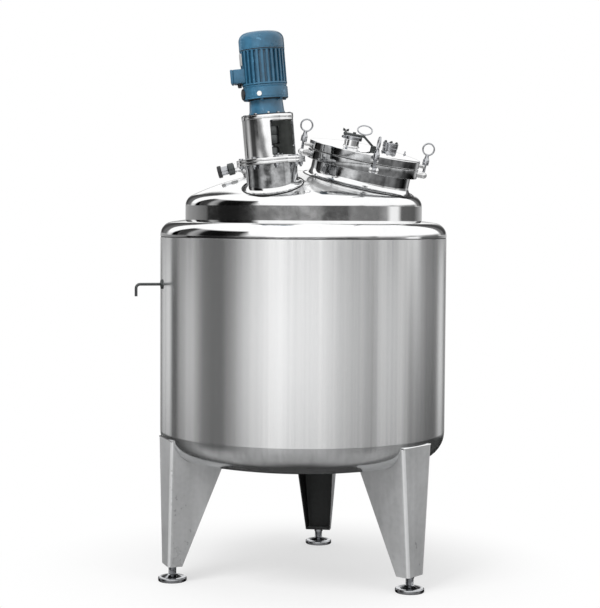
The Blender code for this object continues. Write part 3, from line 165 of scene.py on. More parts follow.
FLOOR_TONES = [  # the first number is degrees of rise
    (-90, 0.02), (-82, 0.04), (-70, 0.20), (-60, 0.27), (-35, 0.31), (-14, 0.33), (-10, 0.36),
]
print("directions with a tone of their own:", len(ROOM_TONES) + len(EYE_LEVEL_TONES))

# %% [markdown]
# A material is a tree of nodes. A few helpers add the kinds that come back in every one, and put
# numbers on their sockets or link other nodes to them.

# %% Helpers for nodes
def add_node(tree, kind, **settings):
    """A node with some of its properties set."""
    node = tree.nodes.new(kind)
    for name, value in settings.items():
        setattr(node, name, value)
    return node


def feed(tree, socket, value):
    """Puts a number or a colour on a socket, or links an output to it."""
    if isinstance(value, (int, float, tuple)):
        socket.default_value = value
    else:
        tree.links.new(value, socket)


def add_math(tree, operation, first, second=None, clamp=False):
    """A sum or function of one or two values."""
    node = add_node(tree, "ShaderNodeMath", operation=operation, use_clamp=clamp)
    feed(tree, node.inputs[0], first)
    if second is not None:
        feed(tree, node.inputs[1], second)
    return node.outputs[0]


def add_range(tree, value, low, high, to_low=0.0, to_high=1.0, smooth=False):
    """Stretches a value from one range to another and keeps it there."""
    node = add_node(tree, "ShaderNodeMapRange", interpolation_type="SMOOTHSTEP" if smooth else "LINEAR")
    feed(tree, node.inputs["Value"], value)
    for name, number in (("From Min", low), ("From Max", high), ("To Min", to_low), ("To Max", to_high)):
        node.inputs[name].default_value = number
    return node.outputs["Result"]


def add_tones(tree, value, stops):
    """A ramp of grey tones, its stops given in the value's own units."""
    low, high = stops[0][0], stops[-1][0]
    ramp = add_node(tree, "ShaderNodeValToRGB")
    feed(tree, ramp.inputs["Fac"], add_range(tree, value, low, high))
    elements = ramp.color_ramp.elements
    while len(elements) < len(stops):
        elements.new(1.0)
    for element, (place, tone) in zip(elements, stops):
        element.position = (place - low) / (high - low)
        element.color = (tone, tone, tone, 1.0)
    return ramp.outputs["Color"]


def add_mix(tree, factor, first, second, blend="MIX"):
    """A mix of two colours."""
    node = add_node(tree, "ShaderNodeMix", data_type="RGBA", blend_type=blend)
    for number, value in ((0, factor), (6, first), (7, second)):
        feed(tree, node.inputs[number], value)
    return node.outputs[2]


def add_mix_shader(tree, factor, first, second):
    """A mix of two shaders."""
    node = add_node(tree, "ShaderNodeMixShader")
    for socket, value in zip(node.inputs, (factor, first, second)):
        feed(tree, socket, value)
    return node.outputs[0]


print("helpers for nodes ready")

# %% Directions of the room
world = bpy.data.worlds.new("studio")
bpy.context.scene.world = world
world.use_nodes = True
sky = world.node_tree
sky.nodes.clear()
direction = add_node(sky, "ShaderNodeSeparateXYZ")
feed(sky, direction.inputs[0], add_node(sky, "ShaderNodeTexCoord").outputs["Generated"])
toward_camera = add_math(sky, "MULTIPLY", direction.outputs["Y"], -1.0)
compass = add_math(sky, "DEGREES", add_math(sky, "ARCTAN2", direction.outputs["X"], toward_camera))
rise = add_math(sky, "DEGREES", add_math(sky, "ARCSINE", direction.outputs["Z"]))
depth = add_math(sky, "MULTIPLY", rise, -1.0)


def by_compass(stops):
    """A tone for each direction of the compass."""
    return add_tones(sky, compass, stops)


def shade(colour, tone):
    """A colour darkened by a tone."""
    return add_mix(sky, 1.0, colour, tone, "MULTIPLY")


print("compass and rise measured with", len(sky.nodes), "nodes")

# %% Layers of the room, from degrees of rise or depth to degrees
HANGING_FOOT = (1.6, 3.0)
SKIRTING = (5.5, 11.0)
SKIRTING_STRENGTH = 0.66
FLOOR_EDGE = (8.0, 44.0)
FAR_EDGE = (8.8, 10.5)
LOW_EDGE = (3.0, 7.0)
HANGING_SOFTNESS = 8.0
STRIP_FOOT = (-1.4, -0.8)
STRIP_HEAD = (1.7, 1.1)
NO_LIGHT = (0.0, 0.0, 0.0, 1.0)
CEILING_LIGHT = (1.10, 1.10, 1.10, 1.0)


def above(limits, softness):
    """How far a direction is above a limit that changes with the compass."""
    limit = add_math(sky, "MULTIPLY", by_compass(limits), 100.0)
    return add_range(sky, add_math(sky, "SUBTRACT", rise, limit), 0.0, softness, smooth=True)


room = by_compass(ROOM_TONES)
hung = shade(room, by_compass(BLACK_HANGING))
room = add_mix(sky, add_range(sky, rise, *HANGING_FOOT), room, hung)
room = add_mix(sky, add_range(sky, depth, *SKIRTING, 0.0, SKIRTING_STRENGTH), room, NO_LIGHT)
ground = add_tones(sky, rise, FLOOR_TONES)
room = add_mix(sky, add_range(sky, depth, *FLOOR_EDGE, smooth=True), room, ground)
room = add_mix(sky, add_range(sky, depth, *FAR_EDGE), room, shade(room, by_compass(FAR_DARKNESS)))
room = add_mix(sky, add_range(sky, depth, *LOW_EDGE), room, shade(room, by_compass(LOW_DARKNESS)))
room = add_mix(sky, above(HANGING_TOP, HANGING_SOFTNESS), room, CEILING_LIGHT)
strip = add_math(sky, "MULTIPLY", add_range(sky, rise, *STRIP_FOOT), add_range(sky, rise, *STRIP_HEAD))
room = add_mix(sky, strip, room, by_compass(EYE_LEVEL_TONES))
print("room laid in", len(sky.nodes), "nodes")

# %% Who sees the room
PLAIN_WHITE = (1.0, 1.0, 1.0, 1.0)
MATT_LIGHT = 0.62


def add_background(colour, strength=1.0):
    """A background of a colour and a strength."""
    node = add_node(sky, "ShaderNodeBackground")
    feed(sky, node.inputs["Color"], colour)
    node.inputs["Strength"].default_value = strength
    return node.outputs[0]


rays = add_node(sky, "ShaderNodeLightPath")
matt_light = add_background(PLAIN_WHITE, MATT_LIGHT)
lighting = add_mix_shader(sky, rays.outputs["Is Glossy Ray"], matt_light, add_background(room))
direct = add_math(sky, "MAXIMUM", rays.outputs["Is Camera Ray"], rays.outputs["Is Transmission Ray"])
studio = add_mix_shader(sky, direct, lighting, add_background(PLAIN_WHITE))
feed(sky, add_node(sky, "ShaderNodeOutputWorld").inputs["Surface"], studio)
bpy.context.scene.view_settings.view_transform = "Standard"
print("world ready with", len(sky.nodes), "nodes")

# %% [markdown]
# ## Lamps
# Two large soft lamps, the stronger one above the camera's left, give the paint its form and the
# feet their shadow. The metal doesn't mirror them, because the room already holds what it mirrors.

# %% Lamps
AIM_HEIGHT = 1.1


def add_lamp(name, place, size, power):
    """A square soft lamp that looks at the middle of the tank."""
    light = bpy.data.lights.new(name, "AREA")
    light.shape = "SQUARE"
    light.size = size
    light.energy = power
    lamp = bpy.data.objects.new(name, light)
    bpy.context.scene.collection.objects.link(lamp)
    aim = TANK.translation + Vector((0.0, 0.0, AIM_HEIGHT)) - Vector(place)
    lamp.matrix_world = at(*place) @ aim.to_track_quat("-Z", "Y").to_matrix().to_4x4()
    lamp.visible_glossy = False


add_lamp("key", place=(-2.4, -3.4, 5.2), size=2.6, power=190.0)
add_lamp("fill", place=(3.4, -3.0, 2.6), size=2.4, power=28.0)
print("lamps:", len(bpy.data.lights))

# %% [markdown]
# ## Floor
# The floor is plain and pale. Near the feet it takes their shadow as any matt surface does, and
# further out it fades into the white of the backdrop for the camera, so that no edge shows.

# %% Floor
FLOOR_SIZE = 60.0
FLOOR_PALE = (0.96, 0.96, 0.96)
SHADOW_REACH = 0.55
WHITE_REACH = 1.3
WHITE_NEAR = 0.58  # share of plain white near the feet


def new_material(name, colour, roughness, metallic):
    """A material whose Principled shader has plain values to start from."""
    material = bpy.data.materials.new(name)
    material.use_nodes = True
    shader = material.node_tree.nodes["Principled BSDF"]
    shader.inputs["Base Color"].default_value = (*colour, 1.0)
    shader.inputs["Roughness"].default_value = roughness
    shader.inputs["Metallic"].default_value = metallic
    return material, material.node_tree, shader


floor_mesh = bpy.data.meshes.new("floor")
sheet = bmesh.new()
bmesh.ops.create_grid(sheet, x_segments=1, y_segments=1, size=FLOOR_SIZE)
sheet.to_mesh(floor_mesh)
sheet.free()
floor = bpy.data.objects.new("floor", floor_mesh)
bpy.context.scene.collection.objects.link(floor)
floor_material, tree, shader = new_material("floor", FLOOR_PALE, 0.9, 0.0)
shader.inputs["Specular IOR Level"].default_value = 0.0
reach = add_node(tree, "ShaderNodeVectorMath", operation="LENGTH")
feed(tree, reach.inputs[0], add_node(tree, "ShaderNodeTexCoord").outputs["Object"])
far = add_range(tree, reach.outputs["Value"], SHADOW_REACH, WHITE_REACH, smooth=True)
whiteness = add_range(tree, far, 0.0, 1.0, WHITE_NEAR, 1.0)
for_camera = add_node(tree, "ShaderNodeLightPath").outputs["Is Camera Ray"]
whiteness = add_math(tree, "MULTIPLY", whiteness, for_camera)
white = add_node(tree, "ShaderNodeEmission").outputs[0]
faded = add_mix_shader(tree, whiteness, shader.outputs[0], white)
feed(tree, tree.nodes["Material Output"].inputs["Surface"], faded)
floor_mesh.materials.append(floor_material)
floor.visible_glossy = False
print("floor reaches", FLOOR_SIZE, "m each way")

# %% [markdown]
# ## Effects that several finishes share
# Sheet steel is never quite even. One group draws upright streaks, one draws the soft cloudiness of
# handled metal, and one draws small scuffs. Each is built once and placed in the materials with its
# own values.

# %% Helpers for shared effects
def new_group(name, inputs, output):
    """An empty shader group with number inputs and one output."""
    group = bpy.data.node_groups.new(name, "ShaderNodeTree")
    for label, value in inputs.items():
        socket = group.interface.new_socket(label, in_out="INPUT", socket_type="NodeSocketFloat")
        socket.default_value = value
    group.interface.new_socket(output, in_out="OUTPUT", socket_type="NodeSocketFloat")
    return group, group.nodes.new("NodeGroupInput").outputs, group.nodes.new("NodeGroupOutput").inputs[output]


def add_noise(tree, scale, detail):
    """Noise on object coordinates; the scale is one number, or one for each axis."""
    mapping = add_node(tree, "ShaderNodeMapping")
    noise = add_node(tree, "ShaderNodeTexNoise")
    mapping.inputs["Scale"].default_value = scale if isinstance(scale, tuple) else (scale, scale, scale)
    noise.inputs["Scale"].default_value = 1.0
    noise.inputs["Detail"].default_value = detail
    feed(tree, mapping.inputs["Vector"], add_node(tree, "ShaderNodeTexCoord").outputs["Object"])
    feed(tree, noise.inputs["Vector"], mapping.outputs["Vector"])
    return noise.outputs["Fac"]


def swing(tree, scale, detail):
    """Noise that swings around zero."""
    return add_math(tree, "SUBTRACT", add_noise(tree, scale, detail), 0.5)


print("helpers for effects ready")

# %% Streaks, clouds and scuffs
streaks, given, result = new_group("upright_streaks", {"Fine": 0.5, "Broad": 0.5}, "Value")
fine = add_math(streaks, "MULTIPLY", swing(streaks, (70.0, 70.0, 0.25), 1.0), given["Fine"])
broad = add_math(streaks, "MULTIPLY", swing(streaks, (14.0, 14.0, 0.12), 1.0), given["Broad"])
feed(streaks, result, add_math(streaks, "ADD", fine, broad))

clouds, given, result = new_group("handled_clouds", {"Strength": 1.0}, "Value")
small = add_math(clouds, "MULTIPLY", swing(clouds, 48.0, 3.0), 0.5)
both = add_math(clouds, "ADD", swing(clouds, 6.0, 4.0), small)
feed(clouds, result, add_math(clouds, "MULTIPLY", both, given["Strength"]))

scuffs, given, result = new_group("scuffs", {"Share": 0.5}, "Mask")
MARK_LEVEL = 0.42
MARK_SHARPNESS = 18.0
marked = add_math(scuffs, "MULTIPLY", add_noise(scuffs, 130.0, 6.0), add_noise(scuffs, 9.0, 2.0))
level = add_math(scuffs, "SUBTRACT", MARK_LEVEL, add_math(scuffs, "MULTIPLY", given["Share"], 0.2))
over = add_math(scuffs, "SUBTRACT", marked, level)
feed(scuffs, result, add_math(scuffs, "MULTIPLY", over, MARK_SHARPNESS, clamp=True))


def use_group(tree, group, **values):
    """Places a shared effect in a material and returns its only output."""
    node = add_node(tree, "ShaderNodeGroup", node_tree=group)
    for name, value in values.items():
        node.inputs[name].default_value = value
    return node.outputs[0]


def add_bump(tree, shader, height, distance, strength=1.0):
    """Feeds a height to the shader's normal."""
    bump = add_node(tree, "ShaderNodeBump")
    bump.inputs["Strength"].default_value = strength
    bump.inputs["Distance"].default_value = distance
    feed(tree, bump.inputs["Height"], height)
    feed(tree, shader.inputs["Normal"], bump.outputs["Normal"])


def toned(colour, factor, lift=0.0):
    """A colour made lighter or darker."""
    return tuple(min(value * factor + lift, 1.0) for value in colour) + (1.0,)


print("shared effects:", len(bpy.data.node_groups))

# %% [markdown]
# ## Steel finishes
# The wall is ground around its girth, so it smears what it mirrors upward and downward but keeps
# it sharp sideways: that is anisotropy. Its faint upright streaks come from the rolling of the
# sheet. The head and the flanges are polished like a mirror, and have the slight waves of a sheet
# that was buffed by hand. Rims and necks are cloudier, and legs and fittings have a satin finish.

# %% How a steel is made
def steel(name, colour, roughness, spread, fine, broad, cloud, wave=0.0, stretch=0.0, sheen=1.0, blotch=0.12):
    """Stainless steel with streaks, clouds and, where wanted, waves or a direction of grinding."""
    material, tree, shader = new_material(name, colour, roughness, sheen)
    streak = use_group(tree, streaks, Fine=fine, Broad=broad)
    uneven = add_math(tree, "ADD", streak, use_group(tree, clouds, Strength=cloud))
    rough = add_range(tree, uneven, -0.5, 0.5, roughness - spread, roughness + spread)
    darker, lighter = toned(colour, 1.0 - blotch), toned(colour, 1.06)
    feed(tree, shader.inputs["Roughness"], rough)
    share = add_range(tree, uneven, -0.5, 0.5)
    feed(tree, shader.inputs["Base Color"], add_mix(tree, share, darker, lighter))
    if wave:
        add_bump(tree, shader, add_noise(tree, 5.0, 2.0), wave)
    shader.inputs["Anisotropic"].default_value = stretch
    if stretch:
        shader.inputs["Anisotropic Rotation"].default_value = 0.25
        girth = add_node(tree, "ShaderNodeTangent", direction_type="RADIAL", axis="Z")
        feed(tree, shader.inputs["Tangent"], girth.outputs["Tangent"])
    return material


POLISHED = (0.95, 0.955, 0.96)
WAVY = 0.0012
print("steel is made from", len(streaks.nodes) + len(clouds.nodes), "nodes of shared effects")

# %% Steels of the sheets
WALL_STEEL = steel(
    "wall_steel", (0.95, 0.96, 0.97), 0.18, spread=0.04, fine=0.60, broad=1.00, cloud=0.10,
    stretch=0.4, sheen=0.9, blotch=0.24,
)
BOTTOM_STEEL = steel(
    "bottom_steel", (0.93, 0.94, 0.95), 0.16, spread=0.04, fine=0.60, broad=1.00, cloud=0.10,
    stretch=0.3, sheen=0.94, blotch=0.24,
)
MIRROR_STEEL = steel("mirror_steel", POLISHED, 0.07, spread=0.05, fine=0.0, broad=0.1, cloud=0.8, wave=WAVY)
CROWN_STEEL = steel(
    "crown_steel", POLISHED, 0.10, spread=0.05, fine=0.0, broad=0.1, cloud=0.8, wave=WAVY, sheen=0.62,
)
RIM_STEEL = steel(
    "rim_steel", (0.70, 0.71, 0.72), 0.10, spread=0.06, fine=0.3, broad=0.8, cloud=2.6, wave=0.0016,
    blotch=0.6,
)
print("sheets have", len(bpy.data.materials) - 1, "steels")

# %% Steels of the fittings and the legs
SATIN_STEEL = steel("satin_steel", (0.52, 0.53, 0.55), 0.13, spread=0.06, fine=0.2, broad=0.2, cloud=0.9)
CAST_STEEL = steel(
    "cast_steel", (0.16, 0.17, 0.17), 0.38, spread=0.10, fine=0.2, broad=0.3, cloud=2.0, blotch=0.5,
)
LEG_STEEL = steel(
    "leg_steel", (0.50, 0.505, 0.51), 0.34, spread=0.08, fine=0.4, broad=0.9, cloud=1.2,
    sheen=0.25, blotch=0.25,
)
# Painted highlight: this lighter steel on the leg folds stands in for the bright line that the folds catch.
FOLD_HIGHLIGHT_STEEL = steel(
    "painted_highlight_fold", (0.78, 0.785, 0.79), 0.30, spread=0.08, fine=0.4, broad=0.5, cloud=0.5, sheen=0.35,
)
# Painted light: this lighter, duller steel inside the lantern makes up for the dim light in there.
PAINTED_LIGHT_INSIDE_STEEL = steel(
    "painted_light_inside", (0.32, 0.34, 0.325), 0.50, spread=0.12, fine=0.5, broad=0.5, cloud=1.5,
    sheen=0.3, blotch=0.5,
)
# Painted shade: this near-black steel lines the inside of the leg channels, where shade falls.
SHADED_INSIDE_STEEL = steel(
    "painted_shade_inside", (0.045, 0.047, 0.047), 0.45, spread=0.15, fine=0.5, broad=0.5, cloud=1.5,
    sheen=0.6, blotch=0.7,
)
print("finishes so far:", len(bpy.data.materials))

# %% [markdown]
# ## Paint, rubber, glass and plastic
# The gear motor is cast iron and aluminium in a blue machine enamel. It has the slight orange peel
# of a sprayed coat, paler where dust settles and dull where it was handled.

# %% Enamel
def enamel(name, colour, roughness):
    """Sprayed enamel with orange peel, dusty patches and small scuffs."""
    material, tree, shader = new_material(name, colour, roughness, 0.0)
    shader.inputs["Coat Weight"].default_value = 0.45
    shader.inputs["Coat Roughness"].default_value = 0.12
    haze = use_group(tree, clouds, Strength=1.2)
    worn = use_group(tree, scuffs, Share=0.35)
    deep, pale, scuffed = toned(colour, 0.72), toned(colour, 1.35, 0.012), toned(colour, 1.8, 0.05)
    tone = add_mix(tree, add_range(tree, haze, -0.35, 0.35), deep, pale)
    feed(tree, shader.inputs["Base Color"], add_mix(tree, worn, tone, scuffed))
    rough = add_range(tree, haze, -0.4, 0.4, roughness - 0.1, roughness + 0.14)
    feed(tree, shader.inputs["Roughness"], rough)
    add_bump(tree, shader, add_noise(tree, 420.0, 2.0), 0.0002, 0.5)
    return material


BLUE = enamel("blue_enamel", (0.019, 0.101, 0.178), 0.34)
print("enamel ready:", BLUE.name)

# %% Rubber, plastic, bare aluminium and the darks
def plain_finish(name, colour, roughness, grain, depth, metallic=0.0):
    """A plain matt or glossy finish with a fine grain."""
    material, tree, shader = new_material(name, colour, roughness, metallic)
    haze = use_group(tree, clouds, Strength=1.0)
    tone = add_mix(tree, add_range(tree, haze, -0.4, 0.4), toned(colour, 0.85), toned(colour, 1.0))
    feed(tree, shader.inputs["Base Color"], tone)
    rough = add_range(tree, haze, -0.4, 0.4, roughness * 0.8, roughness * 1.2)
    feed(tree, shader.inputs["Roughness"], rough)
    add_bump(tree, shader, add_noise(tree, grain, 3.0), depth)
    return material


RUBBER = plain_finish("seal_rubber", (0.55, 0.55, 0.53), 0.6, grain=300.0, depth=0.0003)
WHITE = plain_finish("white_plastic", (0.88, 0.88, 0.86), 0.25, grain=120.0, depth=0.0001)
BLACK = plain_finish("black_plastic", (0.018, 0.018, 0.02), 0.32, grain=260.0, depth=0.0002)
# Painted shade: this near-black finish stands in for the shade inside the wall's joint and along the motor's
# castings; it is also the lantern packing's own colour.
SHADE_AND_PACKING_DARK = plain_finish("painted_shade_and_packing", (0.02, 0.02, 0.022), 0.55, grain=90.0, depth=0.0002)
# Painted shade: this near-black metal bead paints the dark line along the toe of each neck collar.
TOE_SHADE_BEAD = plain_finish("weld_seam", (0.030, 0.031, 0.032), 0.30, grain=220.0, depth=0.0006, metallic=0.8)
PLATE = plain_finish("plate_aluminium", (0.78, 0.79, 0.78), 0.35, grain=160.0, depth=0.0001, metallic=0.6)
print("finishes so far:", len(bpy.data.materials))

# %% Glass
GLASS, tree, shader = new_material("borosilicate", (0.86, 0.93, 0.92), 0.04, 0.0)
shader.inputs["Transmission Weight"].default_value = 0.9
shader.inputs["IOR"].default_value = 1.47
smear = add_range(tree, use_group(tree, clouds, Strength=1.0), -0.4, 0.4, 0.02, 0.09)
feed(tree, shader.inputs["Roughness"], smear)
print("glass ready:", GLASS.name)

# %% Finish of every solid that stays, and the slot that each finish belongs to
BY_SLOT = {
    "polished_steel": MIRROR_STEEL, "brushed_steel": WALL_STEEL, "satin_steel": SATIN_STEEL,
    "blue_paint": BLUE, "gasket_rubber": RUBBER, "sight_glass": GLASS, "white_plastic": WHITE,
    "black_plastic": BLACK,
}
SLOT_OF = {finish: slot for slot, finish in BY_SLOT.items()}
SLOT_OF.update({
    RIM_STEEL: "polished_steel", TOE_SHADE_BEAD: "polished_steel", BOTTOM_STEEL: "brushed_steel",
    LEG_STEEL: "brushed_steel", CAST_STEEL: "satin_steel", PLATE: "satin_steel",
})
slots = {part["node"]: part["material_slot"] for part in frame["record"]["subparts"]}
for name, node in frame["nodes"].items():
    finish = LEG_STEEL if name.startswith("leg_") else BY_SLOT[slots[name]]
    if node.material_slots:
        node.material_slots[0].material = finish
    else:
        node.data.materials.append(finish)
print("solids finished:", len(frame["nodes"]))

# %% [markdown]
# ## Turned sheets
# The real wall, shoulder and heads are rolled and spun. Spinning one profile around the axis does
# the same here, in steps fine enough that a mirror finish shows no facets.

# %% Helpers for turned pieces
FULL_TURN = math.tau
SHELL_STEPS = 160
MERGE = 0.00001


def spun(shape, steps):
    """Spins all that a bmesh holds once around Z."""
    bmesh.ops.spin(
        shape, geom=shape.verts[:] + shape.edges[:], cent=(0, 0, 0), axis=(0, 0, 1), dvec=(0, 0, 0),
        angle=FULL_TURN, steps=steps, use_merge=True, use_normal_flip=False, use_duplicate=False,
    )
    bmesh.ops.remove_doubles(shape, verts=shape.verts, dist=MERGE)
    bmesh.ops.recalc_face_normals(shape, faces=shape.faces)
    return shape


def turned(profile, steps):
    """A profile of (radius, height) points, spun; it is a closed ring unless it touches the axis."""
    shape = bmesh.new()
    points = [shape.verts.new((radius, 0.0, height)) for radius, height in profile]
    for first, second in zip(points, points[1:]):
        shape.edges.new((first, second))
    if profile[0][0] > 0.0 and profile[-1][0] > 0.0:
        shape.edges.new((points[-1], points[0]))
    return spun(shape, steps)


def hoop(outer, inner, low, high, steps):
    """A turned ring with a square section."""
    return turned([(outer, high), (outer, low), (inner, low), (inner, high)], steps)


def disc(radius, low, high, steps=64):
    """A closed cylinder between two heights."""
    return turned([(0.0, high), (radius, high), (radius, low), (0.0, low)], steps)


print("shells are spun in", SHELL_STEPS, "steps")

# %% Helpers that round and finish a piece
SHARP_ANGLE = math.radians(32.0)


def soften(shape, width, segments=2, least=35.0):
    """Rounds every edge that is sharper than so many degrees."""
    least = math.radians(least)
    sharp = [edge for edge in shape.edges if len(edge.link_faces) == 2 and edge.calc_face_angle() > least]
    bmesh.ops.bevel(
        shape, geom=sharp, offset=width, offset_type="OFFSET", affect="EDGES", segments=segments,
        profile=0.5, clamp_overlap=True, material=-1,
    )
    return shape


def finish_piece(name, shape, place, body, finish, *nodes, slot=None):
    """Makes a bmesh the mesh of a piece in its place, smooth between its sharp edges."""
    bmesh.ops.transform(shape, matrix=place, verts=shape.verts)
    for face in shape.faces:
        face.smooth = True
    for edge in shape.edges:
        if len(edge.link_faces) == 2:
            edge.smooth = edge.calc_face_angle() < SHARP_ANGLE
    mesh = bpy.data.meshes.new(name)
    shape.to_mesh(mesh)
    shape.free()
    mesh.materials.append(finish)
    piece = bpy.data.objects.new(name, mesh)
    bpy.context.scene.collection.objects.link(piece)
    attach(piece, body)
    for node in nodes:
        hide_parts(node)
    return piece


def refinish(piece, finish, chosen):
    """Gives another finish to the faces of a piece that a test chooses."""
    piece.data.materials.append(finish)
    for face in piece.data.polygons:
        if chosen(face):
            face.material_index = len(piece.data.materials) - 1


print("edges sharper than", round(math.degrees(SHARP_ANGLE)), "degrees stay sharp")

# %% [markdown]
# ## Cladding
# The wall's sheet is 3 mm. A narrow open joint runs around it under the shoulder, which is where
# the photograph shows its dark line. Above it the polished shoulder rolls inward in one large
# fillet, and the outer bottom is dished.

# %% Profiles of sheets
def dish(radius, knuckle, crown, height, side, turns=12, rings=16):
    """Points of a dished end from its rim to its middle; side is 1 upward and -1 downward."""
    drop = math.sqrt((crown - knuckle) ** 2 - (radius - knuckle) ** 2)
    meeting = math.acos((radius - knuckle) / (crown - knuckle))
    points = []
    for step in range(turns + 1):
        angle = meeting * step / turns
        out, up = knuckle * math.cos(angle), knuckle * math.sin(angle)
        points.append((radius - knuckle + out, height + side * up))
    for step in range(1, rings + 1):
        angle = meeting + (math.pi / 2 - meeting) * step / rings
        points.append((crown * math.cos(angle), height + side * (crown * math.sin(angle) - drop)))
    points[-1] = (0.0, points[-1][1])
    return points


def arc(centre, radius, start, end, steps):
    """Points of an arc, in degrees."""
    angles = [math.radians(start + (end - start) * step / steps) for step in range(steps + 1)]
    return [(centre[0] + radius * math.cos(a), centre[1] + radius * math.sin(a)) for a in angles]


WALL_RADIUS = 0.605
SHEET = 0.003
WALL_LOW = 0.600
WALL_TOP = 1.416
print("wall is", round(WALL_TOP - WALL_LOW, 3), "m high")

# %% Wall and its joint
JOINT = 0.0016
JOINT_DEPTHS = (0.0022, 0.0040)
JOINT_REACH = 0.006

wall = hoop(WALL_RADIUS, WALL_RADIUS - SHEET, WALL_LOW, WALL_TOP - JOINT, SHELL_STEPS)
finish_piece("wall_sheet", soften(wall, 0.0006, 1), TANK, "tank", WALL_STEEL, "cladding_wall")
# A near-black ring behind the open joint is painted shade: it stands in for the shade inside the joint.
front, back = [WALL_RADIUS - depth for depth in JOINT_DEPTHS]
joint_shade = hoop(front, back, WALL_TOP - JOINT_REACH, WALL_TOP + JOINT_REACH, SHELL_STEPS)
finish_piece("wall_joint_shade", joint_shade, TANK, "tank", SHADE_AND_PACKING_DARK, slot="brushed_steel")
print("joint is open by", round(JOINT * 2000, 1), "mm")

# %% Shoulder
SHOULDER_FILLET = 0.056
SHOULDER_SLOPE = 8.0
SHOULDER_SIDE = 0.024
SHOULDER_ROLL = 0.040

fillet_height = WALL_TOP + SHOULDER_SIDE + SHOULDER_ROLL - SHOULDER_FILLET
fillet_centre = (WALL_RADIUS - SHOULDER_FILLET, fillet_height)
rounding = arc(fillet_centre, SHOULDER_FILLET, 90.0 - SHOULDER_SLOPE, 0.0, 20)
inner = HEAD_RADIUS + 2 * TOUCH
climb = (rounding[0][0] - inner) * math.tan(math.radians(SHOULDER_SLOPE))
outside = [(inner, rounding[0][1] + climb)] + rounding + [(WALL_RADIUS, WALL_TOP + JOINT)]
inside = [(radius - SHEET, height) for radius, height in outside[:0:-1]] + [(inner, outside[0][1] - SHEET)]
shoulder = turned(outside + inside, SHELL_STEPS)
finish_piece("shoulder_sheet", shoulder, TANK, "tank", MIRROR_STEEL, "cladding_shoulder")
print("shoulder climbs", round(climb, 4), "m to the vessel")

# %% Outer bottom
BOTTOM_KNUCKLE = 0.114
BOTTOM_CROWN = 2.600
BOTTOM_RIM = WALL_LOW - TOUCH
OUTLET_HOLE = 0.0258

bottom_outer = dish(WALL_RADIUS, BOTTOM_KNUCKLE, BOTTOM_CROWN, BOTTOM_RIM, -1)
bottom_inner = dish(WALL_RADIUS - SHEET, BOTTOM_KNUCKLE - SHEET, BOTTOM_CROWN - SHEET, BOTTOM_RIM, -1)
bottom_outer[-1] = (OUTLET_HOLE, bottom_outer[-1][1])
bottom_inner[-1] = (OUTLET_HOLE, bottom_inner[-1][1])
bottom = turned(bottom_outer + bottom_inner[::-1], SHELL_STEPS)
finish_piece("bottom_sheet", bottom, TANK, "tank", BOTTOM_STEEL, "cladding_bottom")
print("bottom reaches down to", round(bottom_outer[-1][1], 4), "m")

# %% [markdown]
# ## Vessel
# The top of the inner vessel stands out of the shoulder and carries the domed head, which is open
# under the manway, the drive and the side nozzle. The head's crown is a little duller than its
# rolled edge. The openings are cut for good, so that the piece keeps a plain mesh.

# %% Cutting openings
def cut_piece(piece, cutters):
    """Takes bmesh shapes out of a piece for good and keeps its mesh."""
    for shape, place in cutters:
        bmesh.ops.transform(shape, matrix=place, verts=shape.verts)
        mesh = bpy.data.meshes.new("cutter")
        shape.to_mesh(mesh)
        shape.free()
        cutter = bpy.data.objects.new("cutter", mesh)
        bpy.context.scene.collection.objects.link(cutter)
        change = piece.modifiers.new("opening", "BOOLEAN")
        change.operation = "DIFFERENCE"
        change.solver = "EXACT"
        change.object = cutter
    bpy.context.view_layer.update()
    graph = bpy.context.evaluated_depsgraph_get()
    made = bpy.data.meshes.new_from_object(piece.evaluated_get(graph))
    for change in list(piece.modifiers):
        cutter = change.object
        piece.modifiers.remove(change)
        bpy.data.objects.remove(cutter, do_unlink=True)
    piece.data = made
    made.name = piece.name


print("helper for openings ready")

# %% Vessel wall and head
VESSEL_SHEET = 0.005
VESSEL_LOW, VESSEL_TOP = 0.660, 1.546
DRIVE_BORE = 0.100
MANWAY_BORE = 0.203
NOZZLE_BORE = 0.017
NOZZLE_X = -0.237
NOZZLE = TANK @ at(NOZZLE_X, 0.0, head_height(NOZZLE_X, 0.0))

ring = hoop(HEAD_RADIUS, HEAD_RADIUS - VESSEL_SHEET, VESSEL_LOW, VESSEL_TOP, SHELL_STEPS)
finish_piece("vessel_sheet", ring, TANK, "tank", MIRROR_STEEL, "vessel_wall")
head_outer = dish(HEAD_RADIUS, HEAD_KNUCKLE, HEAD_CROWN, HEAD_LOW, 1)
inner_sizes = [size - VESSEL_SHEET for size in (HEAD_RADIUS, HEAD_KNUCKLE, HEAD_CROWN)]
head_inner = dish(*inner_sizes, HEAD_LOW, 1)
head = turned(head_outer[::-1] + head_inner, SHELL_STEPS)
head = finish_piece("head_sheet", head, TANK, "tank", MIRROR_STEEL, "top_head")
crown_edge = HEAD_RADIUS - HEAD_KNUCKLE
refinish(head, CROWN_STEEL, lambda face: (face.center - TANK.translation).xy.length < crown_edge)
cut_piece(head, [
    (disc(DRIVE_BORE, -0.1, 0.07), DRIVE), (disc(MANWAY_BORE, -0.2, 0.06), MANWAY),
    (disc(NOZZLE_BORE, -0.04, 0.04), NOZZLE),
])
print("head has", len(head.data.polygons), "faces with its openings cut")

# %% [markdown]
# ## Helpers for small parts
# Nuts, bolts, studs and wire rings come back all over the tank. Each is drawn once around its own
# axis, and a list of places sets it around a flange.

# %% Placing and joining
UPRIGHT = Matrix.Rotation(math.pi / 2, 4, "X")
OUTWARD = Matrix.Rotation(math.pi / 2, 4, "Y")


